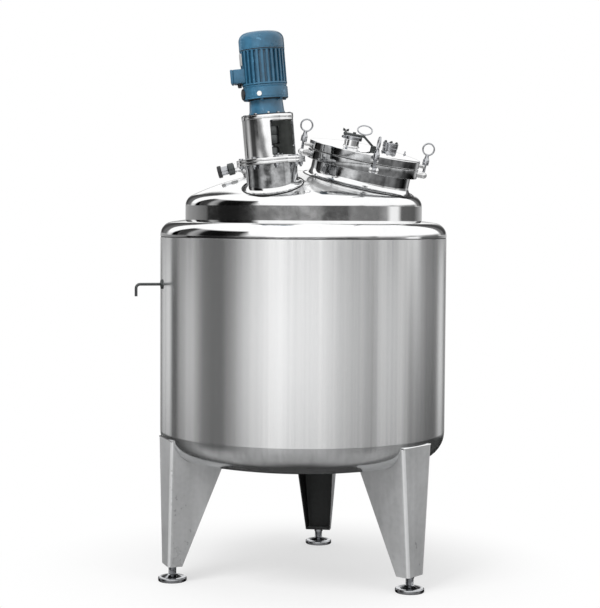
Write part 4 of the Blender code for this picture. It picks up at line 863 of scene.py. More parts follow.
def gather(parts):
    """One bmesh made of several; a part is a shape, or a shape with its place."""
    whole = bmesh.new()
    for part in parts:
        shape, place = part if isinstance(part, tuple) else (part, STAY)
        bmesh.ops.transform(shape, matrix=place, verts=shape.verts)
        mesh = bpy.data.meshes.new("part")
        shape.to_mesh(mesh)
        shape.free()
        whole.from_mesh(mesh)
        bpy.data.meshes.remove(mesh)
    return whole


def around(count, radius, start, height=0.0):
    """Places on a circle, their X axes pointing outward."""
    return [facing(start + 360.0 * number / count) @ at(radius, 0.0, height) for number in range(count)]


print("the first of four places on a circle is", around(4, 1.0, 0.0)[0].translation[:])

# %% Boxes, nuts and threads
THREAD_CREST = (0.35, 0.55)
THREAD_ROOT = 0.95


def cuboid(low, high):
    """A box between two opposite corners."""
    shape = bmesh.new()
    bmesh.ops.create_cube(shape, size=1.0)
    size = Vector(high) - Vector(low)
    bmesh.ops.scale(shape, vec=size, verts=shape.verts)
    bmesh.ops.translate(shape, vec=(Vector(low) + Vector(high)) / 2, verts=shape.verts)
    return shape


def hexagon(across, low, high):
    """A hexagon nut or bolt head with its edges broken."""
    shape = bmesh.new()
    corner = across / math.sqrt(3.0)
    bmesh.ops.create_cone(
        shape, cap_ends=True, segments=6, radius1=corner, radius2=corner, depth=high - low
    )
    bmesh.ops.translate(shape, vec=(0.0, 0.0, (low + high) / 2), verts=shape.verts)
    return soften(shape, across * 0.05, 1)


def hexagons(across, low, high, count, radius, start):
    """Bolt heads evenly around an axis, each with its place."""
    return [(hexagon(across, low, high), place) for place in around(count, radius, start)]


def threaded(radius, low, high, pitch=0.0024, depth=0.0009, steps=24):
    """A rod with its thread drawn as even grooves."""
    root = radius - depth
    points = [(0.0, high), (root, high)]
    for turn in range(int((high - low) / pitch)):
        top = high - pitch * turn
        points += [(radius, top - pitch * share) for share in THREAD_CREST]
        points.append((root, top - pitch * THREAD_ROOT))
    return turned(points + [(root, low), (0.0, low)], steps)


print("a thread's crest takes", round(THREAD_CREST[1] - THREAD_CREST[0], 2), "of its pitch")

# %% Wire rings, welds and copies of solids
def wire_ring(radius, wire, steps=56, wire_steps=12):
    """A closed ring of round wire around Z."""
    shape = bmesh.new()
    bmesh.ops.create_circle(shape, segments=wire_steps, radius=wire, cap_ends=False)
    bmesh.ops.rotate(shape, cent=(0, 0, 0), matrix=Matrix.Rotation(math.pi / 2, 3, "X"), verts=shape.verts)
    bmesh.ops.translate(shape, vec=(radius, 0.0, 0.0), verts=shape.verts)
    return spun(shape, steps)


def verts_of(made):
    """The points among the geometry that an operator made."""
    return [item for item in made["geom"] if isinstance(item, bmesh.types.BMVert)]


def swept(points, radius, steps=16):
    """A round rod along a list of points, closed at its ends."""
    shape = bmesh.new()
    ring = bmesh.ops.create_circle(shape, segments=steps, radius=radius, cap_ends=True)["verts"]
    last = STAY
    for number, point in enumerate(points):
        ahead = points[min(number + 1, len(points) - 1)] - points[max(number - 1, 0)]
        here = at(*point) @ Vector((0, 0, 1)).rotation_difference(ahead).to_matrix().to_4x4()
        if number:
            faces = [face for face in shape.faces if all(vert in ring for vert in face.verts)]
            lifted = bmesh.ops.extrude_face_region(shape, geom=faces)
            bmesh.ops.delete(shape, geom=faces, context="FACES_ONLY")
            ring = verts_of(lifted)
        bmesh.ops.transform(shape, matrix=here @ last.inverted(), verts=ring)
        last = here
    bmesh.ops.recalc_face_normals(shape, faces=shape.faces)
    return shape


def smoothed(node, body, finish, edge=0.0):
    """A merged copy of a solid, smooth between its sharp edges, that stands for it."""
    shape = bmesh.new()
    shape.from_mesh(frame["nodes"][node].data)
    bmesh.ops.remove_doubles(shape, verts=shape.verts, dist=3 * MERGE)
    bmesh.ops.dissolve_limit(
        shape, angle_limit=math.radians(0.5), verts=shape.verts, edges=shape.edges,
        use_dissolve_boundaries=False,
    )
    if edge:
        soften(shape, edge, 2)
    finish_piece(node + "_skin", shape, STAY, body, finish, node, slot=slots[node])


print("helpers for small parts ready")

# %% [markdown]
# ## Necks and their collars
# A neck meets the domed head on a saddle curve. The head is drawn up around it, which leaves a
# collar with a round throat; a near-black bead at its foot paints the dark shade line along its toe.
# A boolean cut would leave a ragged edge there. Instead, every point near the head is slid along the
# neck's axis onto it.

# %% Sliding onto the head
SLIDES = 12


def slide_to_head(point, axis):
    """Slides a point along an axis onto the head's outer surface."""
    local = point - TANK.translation
    for _ in range(SLIDES):
        local = local - axis * ((local.z - head_height(local.x, local.y)) / axis.z)
    return local + TANK.translation


def settled(shape, place, below):
    """Places a turned shape; its points lower than a height are measured from the head instead."""
    axis = place.col[2].to_3d()
    for vert in shape.verts:
        if vert.co.z < below:
            foot = slide_to_head(place @ Vector((vert.co.x, vert.co.y, 0.0)), axis)
            vert.co = foot + axis * vert.co.z
        else:
            vert.co = place @ vert.co
    bmesh.ops.recalc_face_normals(shape, faces=shape.faces)
    return shape


def throat(radius, low, reach, steps):
    """Points of a hollow rounding, from a tube's wall down and out to its foot."""
    angles = [step * math.pi / (2 * steps) for step in range(steps + 1)]
    return [(radius + reach * (1 - math.cos(a)), low + reach * (1 - math.sin(a))) for a in angles]


print("a point is slid", SLIDES, "times")

# %% Agitator neck
NECK_WALL = 0.004
NECK_STEPS = 96


def neck_and_collar(name, place, radius, top, reach, node, steps):
    """The tube of a neck down to the head, the collar around its foot and a near-black bead around that, painted
    shade along the collar's toe.
    """
    neck = settled(hoop(radius, radius - NECK_WALL, -0.003, top, steps), place, 0.0)
    finish_piece(name, neck, STAY, "tank", RIM_STEEL, node)
    rim = [(radius + reach + TOUCH, -0.002), (radius - 0.001, -0.002), (radius - 0.001, reach)]
    collar = settled(turned(throat(radius + TOUCH, 0.0004, reach, 8) + rim, steps), place, 1.0)
    finish_piece(name + "_collar", collar, STAY, "tank", MIRROR_STEEL)
    foot = radius + reach + 2 * TOUCH
    profile = [(0.0050, -0.001), (0.0045, 0.0012), (0.0026, 0.0023), (0.0, 0.0026), (0.0, -0.001)]
    # The bead is painted shade along the collar's toe.
    bead = settled(turned([(foot + out, height) for out, height in profile], steps), place, 1.0)
    finish_piece(name + "_seam", bead, STAY, "tank", TOE_SHADE_BEAD)


neck_and_collar(
    "drive_neck", DRIVE, radius=0.104, top=0.075, reach=0.018, node="agitator_neck", steps=NECK_STEPS
)
print("neck stands on the head")

# %% [markdown]
# ## Flange pair and lantern
# Two 12 mm flanges close the neck. They are turned on a lathe, so their edges are broken, and eight
# hexagon bolts hold them together. The lantern is a piece of tube with two windows, through which
# the coupling is reached. Its top carries a dark packing ring and six bolts of the reducer.

# %% Flanges
FLANGE_RADIUS = 0.138
NECK_FLANGE = (0.0753, 0.0873)
BASE_FLANGE = (0.0876, 0.0996)
TOP_FLANGE = (0.2562, 0.2712)
SHAFT_HOLE = 0.0204


def flange(name, radius, bore, heights, place, node, edge=0.0014, finish=MIRROR_STEEL):
    """A turned ring between two heights with broken edges."""
    ring = soften(hoop(radius, bore, *heights, NECK_STEPS), edge, 3)
    finish_piece(name, ring, place, "tank", finish, node)


flange("neck_flange_ring", FLANGE_RADIUS, DRIVE_BORE, NECK_FLANGE, DRIVE, "neck_flange")
flange("base_flange_ring", FLANGE_RADIUS, SHAFT_HOLE, BASE_FLANGE, DRIVE, "lantern_base_flange")
flange("lantern_top_ring", 0.104, 0.045, TOP_FLANGE, DRIVE, "lantern_top_flange")
bolts = []
for place in around(8, 0.121, 12.0):
    bolts.append((hexagon(0.017, BASE_FLANGE[1], BASE_FLANGE[1] + 0.0075), place))
    bolts.append((hexagon(0.017, NECK_FLANGE[0] - 0.009, NECK_FLANGE[0]), place))
    bolts.append((threaded(0.005, NECK_FLANGE[0] - 0.016, NECK_FLANGE[0] - 0.008), place))
finish_piece("flange_bolts", gather(bolts), DRIVE, "tank", SATIN_STEEL)
print("flanges are held by", len(bolts) // 3, "bolts")

# %% Lantern
LANTERN = (0.0999, 0.2559)
LANTERN_RADIUS, LANTERN_BORE = 0.1025, 0.0965
WINDOW_AZIMUTH = -50.0
WINDOW_REACH, WINDOW_HALF, WINDOW_EDGE = 0.13, 0.058, 0.008
WINDOW_CORNER = 0.006

tube = hoop(LANTERN_RADIUS, LANTERN_BORE, *LANTERN, NECK_STEPS)
lantern = finish_piece("lantern_tube", tube, DRIVE, "tank", MIRROR_STEEL, "lantern")
to_drive = DRIVE.inverted()
# The lantern's inside gets the lighter steel, painted light for its dim inside.
refinish(lantern, PAINTED_LIGHT_INSIDE_STEEL, lambda face: (to_drive @ face.center).xy.length < LANTERN_BORE + 0.001)
window = cuboid(
    (-WINDOW_REACH, -WINDOW_HALF, LANTERN[0] + WINDOW_EDGE),
    (WINDOW_REACH, WINDOW_HALF, LANTERN[1] - WINDOW_EDGE),
)
corners = [edge for edge in window.edges if abs(edge.verts[0].co.x - edge.verts[1].co.x) > WINDOW_REACH]
bmesh.ops.bevel(
    window, geom=corners, offset=WINDOW_CORNER, affect="EDGES", segments=4, profile=0.5, material=-1
)
cut_piece(lantern, [(window, DRIVE @ facing(WINDOW_AZIMUTH))])
packing = soften(hoop(0.1035, 0.0730, 0.2713, 0.2744, NECK_STEPS), 0.0005)
finish_piece("lantern_packing", packing, DRIVE, "tank", SHADE_AND_PACKING_DARK, slot="polished_steel")
bolts = hexagons(0.013, 0.2745, 0.2795, count=6, radius=0.0895, start=-60.0)
finish_piece("lantern_top_bolts", gather(bolts), DRIVE, "tank", SATIN_STEEL)
print("lantern's top has", len(bolts), "bolts")

# %% [markdown]
# ## Seal, coupling and shaft
# Behind the window the shaft leaves its seal and is joined to the gear by a split coupling, whose
# screws show on both sides. They turn with the shaft. Shaft and propeller are hidden in the vessel,
# so a smooth copy of their solids is enough.

# %% Seal, coupling and shaft
SCREW_HEIGHTS = (0.170, 0.214)

seal = turned(
    [(0.055, 0.112), (0.055, 0.0999), (SHAFT_HOLE, 0.0999), (SHAFT_HOLE, 0.1449), (0.034, 0.1449),
     (0.038, 0.1400), (0.038, 0.116), (0.048, 0.112)], 64,
)
finish_piece("seal_gland", soften(seal, 0.0008), DRIVE, "tank", CAST_STEEL, "seal_housing")
bolts = hexagons(0.011, 0.1121, 0.1180, count=6, radius=0.0475, start=10.0)
finish_piece("seal_bolts", gather(bolts), DRIVE, "tank", SATIN_STEEL)
coupling = turned(
    [(0.042, 0.2269), (0.042, 0.1930), (0.0395, 0.1925), (0.0395, 0.1915), (0.042, 0.1910),
     (0.042, 0.1569), (0.0203, 0.1569), (0.0203, 0.2269)], 64,
)
parts = [soften(coupling, 0.0008)]
for height in SCREW_HEIGHTS:
    parts += [(hexagon(0.010, 0.0, 0.0035), place @ OUTWARD) for place in around(4, 0.041, 0.0, height)]
finish_piece("coupling_halves", gather(parts), DRIVE, "agitator", CAST_STEEL, "shaft_coupling")
smoothed("agitator_shaft", "agitator", SATIN_STEEL, edge=0.001)
smoothed("propeller", "agitator", SATIN_STEEL, edge=0.0012)
print("coupling has", len(parts) - 1, "screws")

# %% [markdown]
# ## Gear motor
# The reducer and the gear flange are turned castings, drawn from a profile of radius and height on
# the drive's axis. The ribbed motor body stays as the solid has it. The fan cowl is pressed from
# sheet, with air slots in its top and screws in its rim.

# %% Reducer and gear flange
reducer = turned(
    [(0.0, 0.3365), (0.0650, 0.3365), (0.0665, 0.3350), (0.0700, 0.2865), (0.0725, 0.2825),
     (0.0725, 0.2730), (0.0715, 0.2715), (SHAFT_HOLE, 0.2715), (SHAFT_HOLE, 0.2915), (0.0, 0.2915)], 72,
)
finish_piece("reducer_casting", reducer, DRIVE, "tank", BLUE, "reducer")
gear = turned(
    [(0.0, 0.3928), (0.0860, 0.3928), (0.0880, 0.3912), (0.0880, 0.3862), (0.0868, 0.3852),
     (0.0868, 0.3838), (0.0890, 0.3826), (0.0905, 0.3806), (0.0905, 0.3456), (0.0893, 0.3448),
     (0.0893, 0.3438), (0.0905, 0.3430), (0.0905, 0.3384), (0.0885, 0.3368), (0.0, 0.3368)], NECK_STEPS,
)
finish_piece("gear_flange_casting", gear, DRIVE, "tank", BLUE, "gear_flange")
bolts = hexagons(0.012, 0.3308, 0.3368, count=6, radius=0.0795, start=20.0)
finish_piece("gear_flange_bolts", gather(bolts), DRIVE, "tank", BLUE)
print("gear flange has", len(bolts), "bolts")

# %% Fan cowl
COWL_LOW, COWL_TOP = 0.5344, 0.6042
COWL_RADIUS, COWL_CORNER = 0.091, 0.035
SLOTS = 4
SLOT_START, SLOT_PITCH = 0.014, 0.0105
SLOT_FLOOR = COWL_TOP - 0.0055

top = [(0.0, COWL_TOP - 0.001), (0.010, COWL_TOP - 0.001), (0.0108, SLOT_FLOOR)]
for number in range(SLOTS):
    land = SLOT_START + number * SLOT_PITCH
    top += [(land, SLOT_FLOOR), (land + 0.0006, COWL_TOP)]
    top += [(land + 0.0060, COWL_TOP), (land + 0.0066, SLOT_FLOOR)]
rounding = arc((COWL_RADIUS - COWL_CORNER, COWL_TOP - COWL_CORNER), COWL_CORNER, 90.0, 0.0, 14)
groove = COWL_RADIUS - 0.0006
skirt = [
    (COWL_RADIUS, COWL_LOW + 0.006), (groove, COWL_LOW + 0.0052), (groove, COWL_LOW + 0.0045),
    (COWL_RADIUS, COWL_LOW + 0.0038), (COWL_RADIUS, COWL_LOW + 0.0005), (COWL_RADIUS - 0.0015, COWL_LOW),
    (0.0, COWL_LOW),
]
cowl = turned(top + rounding + skirt, NECK_STEPS)
finish_piece("cowl_pressing", cowl, DRIVE, "tank", BLUE, "fan_cowl")
ribs = [(soften(cuboid((0.0, -0.0016, -0.004), (0.046, 0.0016, -0.0002)), 0.0004, 1), place)
        for place in around(8, 0.009, 0.0, COWL_TOP)]
screws = [(soften(disc(0.004, 0.0, 0.0022, 16), 0.0006), place @ OUTWARD)
          for place in around(4, COWL_RADIUS - TOUCH, 30.0, COWL_LOW + 0.013)]
finish_piece("cowl_ribs", gather(ribs + screws), DRIVE, "tank", BLUE)
print("cowl has", SLOTS, "air slots,", len(ribs), "ribs and", len(screws), "screws")

# %% [markdown]
# Around the motor body sit the end shields with thin near-black rings between the castings, which
# paint the shade lines under the cowl and the gear flange, a bare plate on the left, the terminal box
# with its lid screws and cable glands, the oil sight with a grease nipple under it, and a black disc
# on the gear flange that paints a dark patch of shade there.

# %% End shields and painted shade lines
SHIELDS = [(0.3933, 0.3998), (0.5286, 0.5340)]
SHADE_LINE_RINGS = [(0.0909, 0.5312, 0.5343), (0.0890, 0.3358, 0.3367), (0.0683, 0.3330, 0.3359)]
shields = [soften(hoop(0.0908, 0.080, low, high, NECK_STEPS), 0.001) for low, high in SHIELDS]
finish_piece("motor_end_shields", gather(shields), DRIVE, "tank", BLUE)
# Thin near-black rings under the cowl and the gear flange are painted shade lines.
shade_lines = [hoop(radius, 0.0600, low, high, NECK_STEPS) for radius, low, high in SHADE_LINE_RINGS]
finish_piece("motor_shade_lines", gather(shade_lines), DRIVE, "tank", SHADE_AND_PACKING_DARK, slot="blue_paint")
print("motor has", len(shields), "end shields")

# %% Terminal box
BOX_LOW, BOX_HIGH = 0.4051, 0.4611
BOX_HALF = 0.045
LID_FACE = -0.133
SCREW_ASIDE, SCREW_IN = 0.037, 0.008
GLAND_TOP = BOX_LOW - 0.006

box = soften(cuboid((-0.1207, -BOX_HALF, BOX_LOW), (-0.0733, BOX_HALF, BOX_HIGH)), 0.003, 3)
finish_piece("terminal_housing", box, DRIVE, "tank", BLUE, "terminal_box")
parts = [soften(cuboid((LID_FACE, -BOX_HALF, BOX_LOW), (-0.121, BOX_HALF, BOX_HIGH)), 0.0035, 3)]
for aside in (-SCREW_ASIDE, SCREW_ASIDE):
    for height in (BOX_LOW + SCREW_IN, BOX_HIGH - SCREW_IN):
        screw = soften(disc(0.0032, -0.0004, 0.0, 12), 0.0001, 1)
        parts.append((screw, at(LID_FACE, aside, height) @ Matrix.Rotation(-math.pi / 2, 4, "Y")))
finish_piece("terminal_lid", gather(parts), DRIVE, "tank", BLUE, "terminal_box_lid")
glands = []
for aside in (-0.020, 0.020):
    glands.append((hexagon(0.017, GLAND_TOP, BOX_LOW), at(-0.100, aside)))
    glands.append((soften(disc(0.0075, BOX_LOW - 0.014, GLAND_TOP, 24), 0.0015), at(-0.100, aside)))
finish_piece("cable_glands", gather(glands), DRIVE, "tank", BLACK)
print("terminal lid has", len(parts) - 1, "screws")

# %% Plate, sight, nipple and the painted shade disc on the drive's side
def on_side(azimuth, radius, height):
    """A place on the drive's side, its Z axis pointing outward."""
    return DRIVE @ facing(azimuth) @ at(radius, 0.0, height) @ OUTWARD


LEFT_FRONT = 196.0
plate = soften(cuboid((0.0898, -0.017, 0.474), (0.0914, 0.017, 0.522)), 0.0006)
finish_piece("bare_plate", plate, DRIVE @ facing(LEFT_FRONT), "tank", PLATE)
sight = turned(
    [(0.0, 0.0042), (0.0060, 0.0050), (0.0088, 0.0044), (0.0100, 0.0020), (0.0100, TOUCH), (0.0, TOUCH)], 32
)
finish_piece("oil_sight_lens", sight, on_side(-104.0, 0.0905, 0.3558), "tank", WHITE, "oil_sight")
nipple = turned([(0.0, 0.0100), (0.0028, 0.0095), (0.0040, 0.0060), (0.0040, 0.0), (0.0, 0.0)], 16)
finish_piece("grease_nipple", nipple, on_side(-84.0, 0.0700, 0.2800), "tank", WHITE)
# A black disc on the gear flange's left paints a dark patch of shade there.
shade_disc = soften(disc(0.0225, -0.004, 0.0055, 40), 0.002, 3)
finish_piece("flange_shade_disc", shade_disc, on_side(LEFT_FRONT, 0.0895, 0.3600), "tank", BLACK)
print("motor fittings ready")

# %% [markdown]
# ## Manway neck and ring
# The manway is a short wide neck with a forged ring. Pairs of ears on the ring hold the swing bolts
# and, at the back, the lid's hinge. Each ear is a flat bar whose end is rounded around its pin.

# %% Manway neck and ring
RING = (0.045, 0.083)
RING_RADIUS = 0.232

neck_and_collar("manway_tube", MANWAY, radius=0.207, top=RING[1], reach=0.024, node="manway_neck", steps=144)
flange("manway_ring_forging", RING_RADIUS, 0.2073, RING, MANWAY, "manway_ring", 0.0022, RIM_STEEL)
seal_ring = soften(hoop(0.220, 0.203, 0.0833, 0.0863, NECK_STEPS), 0.0006)
finish_piece("lid_seal", seal_ring, MANWAY, "tank", RUBBER, "manway_gasket")
print("ring is", round(RING[1] - RING[0], 3), "m high")

# %% Ears and pins
PIVOT = (0.261, 0.062)  # out from the manway's axis, and up it
EAR_ROOT = 0.226


def ear(pivot, radius, thickness, middle):
    """A flat bar from the ring, round at its end, standing in the plane of its pin."""
    distance, height = pivot
    shape = bmesh.new()
    bmesh.ops.create_circle(shape, segments=32, radius=radius, cap_ends=True)
    for vert in shape.verts:
        if vert.co.x < -radius * 0.2:
            vert.co = Vector((EAR_ROOT - distance, math.copysign(radius, vert.co.y), 0.0))
    bmesh.ops.remove_doubles(shape, verts=shape.verts, dist=10 * MERGE)
    lifted = bmesh.ops.extrude_face_region(shape, geom=shape.faces[:])
    bmesh.ops.translate(shape, vec=(0.0, 0.0, thickness), verts=verts_of(lifted))
    bmesh.ops.translate(shape, vec=(0.0, 0.0, -thickness / 2), verts=shape.verts)
    bmesh.ops.recalc_face_normals(shape, faces=shape.faces)
    soften(shape, 0.0012, 2, 50.0)
    return shape, at(distance, middle, height) @ UPRIGHT


def pin(radius, head, reach, pivot):
    """A pin through a pair of ears with a flat head at each end."""
    distance, height = pivot
    half = [
        (0.0, reach + 0.003), (head * 0.8, reach + 0.003), (head, reach + 0.002), (head, reach),
        (radius, reach),
    ]
    rod = turned(half + [(out, -along) for out, along in half[::-1]], 24)
    return rod, at(distance, 0.0, height) @ UPRIGHT


def eared(pivot, radius, thickness, middle, shaft):
    """A pair of ears with their pin."""
    return gather([ear(pivot, radius, thickness, side) for side in (middle, -middle)] + [pin(*shaft, pivot)])


SIDES = {"left": 180.0, "front": 270.0, "right": 0.0}
AT_SIDE = {side: MANWAY @ facing(azimuth) for side, azimuth in SIDES.items()}
for side, turn in AT_SIDE.items():
    ears = eared(PIVOT, radius=0.013, thickness=0.009, middle=0.0123, shaft=(0.005, 0.0085, 0.0168))
    finish_piece("ears_" + side, ears, turn, "tank", MIRROR_STEEL)
ears = eared(HINGE, radius=0.014, thickness=0.010, middle=0.0338, shaft=(0.006, 0.0095, 0.0388))
finish_piece("hinge_ears", ears, MANWAY @ facing(90.0), "tank", MIRROR_STEEL)
print("ring carries", len(SIDES), "pairs of bolt ears and the hinge")

# %% [markdown]
# ## Lid
# The lid is a spun dome with a heavy rim. Forks on the rim take the swing bolts. Its edge is
# rounded, which draws the thin bright lines of the photograph.

# %% Lid
LID = (0.0866, 0.1196)
LID_SHEET = 0.005
LID_EDGE = 0.0015
CROWN_RISE = 0.020
LID_INNER = 0.208
RIM_RADIUS = 0.228
CROWN_RADIUS = (RIM_RADIUS ** 2 + CROWN_RISE ** 2) / (2 * CROWN_RISE)
CROWN_STEPS = 14
PORT = (-0.086, -0.130)
GLASS_PLACE = (0.097, -0.012)
PORT_AT = MANWAY @ at(*PORT)
GLASS_AT = MANWAY @ at(*GLASS_PLACE)


def crown(distance):
    """Height of the lid's crown at a distance from the manway's axis."""
    return LID[1] + CROWN_RISE - CROWN_RADIUS + math.sqrt(CROWN_RADIUS ** 2 - distance ** 2)


def crown_at(x, y):
    """Height of the lid's crown over a point of its plan."""
    return crown(math.hypot(x, y))


def across_lid(radius):
    """Distances from the lid's middle to a radius."""
    return [radius * step / CROWN_STEPS for step in range(CROWN_STEPS + 1)]


upper = [(out, crown(out)) for out in across_lid(RIM_RADIUS)[:-1]]
edge = arc((RING_RADIUS - 0.005, LID[1] - 0.0052), 0.005, 78.0, 0.0, 6)
rim = [(RING_RADIUS, LID[0] + LID_EDGE), (RING_RADIUS - LID_EDGE, LID[0]), (LID_INNER, LID[0])]
under = [(out, crown(out) - LID_SHEET) for out in across_lid(LID_INNER)[::-1]]
lid = turned(upper + edge + rim + under, 144)
lid = finish_piece("lid_dome", lid, MANWAY, "lid", MIRROR_STEEL, "manway_lid")
lid_axis = MANWAY.col[2].to_3d()
refinish(lid, RIM_STEEL, lambda face: abs(face.normal.dot(lid_axis)) < 0.35)
cut_piece(lid, [(disc(0.028, 0.08, 0.16), PORT_AT), (disc(0.018, 0.08, 0.16), GLASS_AT)])
smoothed("hinge_arm", "lid", SATIN_STEEL, edge=0.0015)
print("lid crown stands", round(crown(0.0) - LID[1], 3), "m above its rim")

# %% Forks
FORK_TOP = 0.1046
FORK_LOW = FORK_TOP - 0.015
FORK_HALF = 0.014
FORK_GAP = 0.0072


def mirrored(first, second):
    """Two distances in order, on one side of the middle and then on the other."""
    return [sorted((side * first, side * second)) for side in (-1, 1)]


for side, turn in AT_SIDE.items():
    parts = [soften(cuboid((0.222, -FORK_HALF, FORK_LOW), (0.2538, FORK_HALF, FORK_TOP)), 0.002, 3)]
    for near, far in mirrored(FORK_GAP, FORK_HALF):
        prong = cuboid((0.250, near, FORK_LOW + 0.0005), (0.259, far, FORK_TOP - 0.0005))
        parts.append(soften(prong, 0.0015, 2))
    finish_piece("fork_" + side, gather(parts), turn, "lid", MIRROR_STEEL)
print("forks are", round(FORK_TOP - FORK_LOW, 3), "m high")

# %% [markdown]
# ## Swing bolts
# Each bolt swings out of its fork on the pin of its ears. A tall nut with a welded ring screws it
# down by hand. Heights here are counted from the pivot.

# %% Swing bolts and eye nuts
EYE_RADIUS, EYE_BORE, EYE_HALF = 0.012, 0.0054, 0.0068
BOLT_LOW, BOLT_HIGH = 0.010, 0.0625
NUT_BORE = 0.0064
NUT_SEAT = FORK_TOP + TOUCH - PIVOT[1]
RING_HEIGHT = 0.1716 - PIVOT[1]

for side, turn in AT_SIDE.items():
    place = turn @ at(PIVOT[0], 0.0, PIVOT[1])
    eye = soften(hoop(EYE_RADIUS, EYE_BORE, -EYE_HALF, EYE_HALF, 40), 0.001)
    rod = threaded(0.006, BOLT_LOW, BOLT_HIGH, 0.0022, 0.0007)
    bolt = gather([(eye, UPRIGHT), rod])
    finish_piece("bolt_" + side + "_rod", bolt, place, "bolt_" + side, SATIN_STEEL, "swing_bolt_" + side)
    washer = soften(hoop(0.0135, NUT_BORE, NUT_SEAT, NUT_SEAT + 0.0025, 32), 0.0004)
    nut = turned(
        [(0.0, 0.0868), (0.0060, 0.0868), (0.0075, 0.0850), (0.0082, 0.0760), (0.0120, 0.0660),
         (0.0132, 0.0630), (0.0132, NUT_SEAT + 0.0045), (0.0120, NUT_SEAT + 0.0030),
         (NUT_BORE, NUT_SEAT + 0.0030), (NUT_BORE, 0.0630), (0.0, 0.0630)], 32,
    )
    nut = gather([washer, nut, (wire_ring(0.024, 0.0035), at(z=RING_HEIGHT) @ UPRIGHT)])
    finish_piece("nut_" + side, nut, place, "bolt_" + side, SATIN_STEEL, "eye_nut_" + side)
print("three bolts with their nuts")

# %% [markdown]
# ## Clamped port
# The small port is closed by a blank cap under a clamp ring. A bar across it is hinged on the lid
# beside the port, carries the loop handle, and is held down by a wing nut. The port's foot follows
# the lid's crown.

# %% Port tube and cap
PORT_RADIUS, PORT_WALL, PORT_BORE = 0.0320, 0.0300, 0.0280
port_top = crown_at(*PORT) + 0.034
cap_low = port_top + TOUCH


def slid_to_lid(shape, centre, below):
    """Moves the low points of a shape onto the lid's crown; the shape stands at centre."""
    for vert in shape.verts:
        if vert.co.z < below:
            vert.co.z = crown_at(vert.co.x + centre[0], vert.co.y + centre[1]) + 0.0004
    return shape


port = turned(
    [(PORT_RADIUS, port_top), (PORT_RADIUS, port_top - 0.0045), (PORT_WALL, port_top - 0.0055),
     (PORT_WALL, 0.05), (PORT_BORE, 0.05), (PORT_BORE, port_top)], 64,
)
finish_piece("port_tube", slid_to_lid(port, PORT, 0.1), PORT_AT, "lid", MIRROR_STEEL, "lid_port")
bead = turned(throat(0.0302, 0.0005, 0.006, 6) + [(0.0362, 0.0), (0.0290, 0.0), (0.0290, 0.006)], 64)
for vert in bead.verts:
    vert.co.z += crown_at(vert.co.x + PORT[0], vert.co.y + PORT[1])
finish_piece("port_bead", bead, PORT_AT, "lid", MIRROR_STEEL)
cap = turned(
    [(0.0, cap_low + 0.005), (0.0305, cap_low + 0.005), (PORT_RADIUS, cap_low + 0.0035),
     (PORT_RADIUS, cap_low), (0.0, cap_low)], 64,
)
finish_piece("port_blank", cap, PORT_AT, "lid", MIRROR_STEEL, "port_cap")
print("port's top is", round(port_top, 4), "m up the manway's axis")

# %% Clamp and closing bar
CLAMP_HEIGHT = 0.016
clamp_low = port_top + TOUCH / 2 - CLAMP_HEIGHT / 2
clamp_high = clamp_low + CLAMP_HEIGHT
bar_low = clamp_high + TOUCH
bar_top = bar_low + 0.010

clamp = turned(
    [(0.0370, clamp_high), (0.0390, clamp_high - 0.002), (0.0390, clamp_low + 0.002), (0.0370, clamp_low),
     (0.0323, clamp_low), (0.0323, clamp_high)], 64,
)
lug = soften(cuboid((0.036, -0.009, clamp_low + 0.003), (0.0488, 0.009, clamp_high - 0.003)), 0.0015)
clamp = gather([clamp, (lug, facing(205.0))])
finish_piece("port_clamp_halves", clamp, PORT_AT, "lid", SATIN_STEEL, "port_clamp")
bar = soften(cuboid((-0.040, -0.008, bar_low), (0.050, 0.008, bar_top)), 0.0025, 3)
finish_piece("closing_bar", bar, PORT_AT, "lid", CAST_STEEL, "port_bar")
print("closing bar lies", round(bar_low - port_top, 4), "m above the port")

# %% Hinge of the closing bar
HINGE_OUT = 0.092
LINK_START = 0.046
link_height = bar_top - 0.005
lid_here = crown_at(PORT[0] + HINGE_OUT, PORT[1])
pin_height = lid_here + 0.010
fall, run = link_height - pin_height, HINGE_OUT - LINK_START
link = soften(cuboid((0.0, -0.0055, -0.0045), (math.hypot(fall, run) + 0.005, 0.0055, 0.0045)), 0.002, 3)
slope = Matrix.Rotation(math.atan2(fall, run), 4, "Y")
parts = [(link, at(LINK_START, 0.0, link_height) @ slope)]
for near, far in mirrored(0.0065, 0.0105):
    cheek = cuboid((HINGE_OUT - 0.010, near, lid_here - 0.001), (HINGE_OUT + 0.010, far, pin_height + 0.006))
    parts.append(soften(cheek, 0.003, 3))
parts.append(pin(0.003, 0.0055, 0.0110, (HINGE_OUT, pin_height)))
finish_piece("bar_hinge", gather(parts), PORT_AT, "lid", CAST_STEEL)
print("bar's hinge is", round(math.hypot(fall, run), 4), "m long")

# %% Wing nut and loop handle
def wing_nut(size):
    """A wing nut: a small hub with two raised ears."""
    parts = [turned([(0.0, size * 0.5), (size * 0.26, size * 0.5), (size * 0.36, 0.0), (0.0, 0.0)], 20)]
    for azimuth in (180.0, 0.0):
        wing = cuboid((size * 0.1, -size * 0.09, size * 0.15), (size, size * 0.09, size * 0.85))
        for vert in wing.verts:
            if vert.co.x > size * 0.5:
                vert.co.z += size * (0.35 if vert.co.z > size * 0.5 else 0.15)
        parts.append((soften(wing, size * 0.08, 3), facing(azimuth)))
    return gather(parts)


LOOP_RADIUS, LOOP_WIRE = 0.0295, 0.003
LOOP_LEAN = math.radians(35.0)
LOOP_TURN = facing(-14.0)

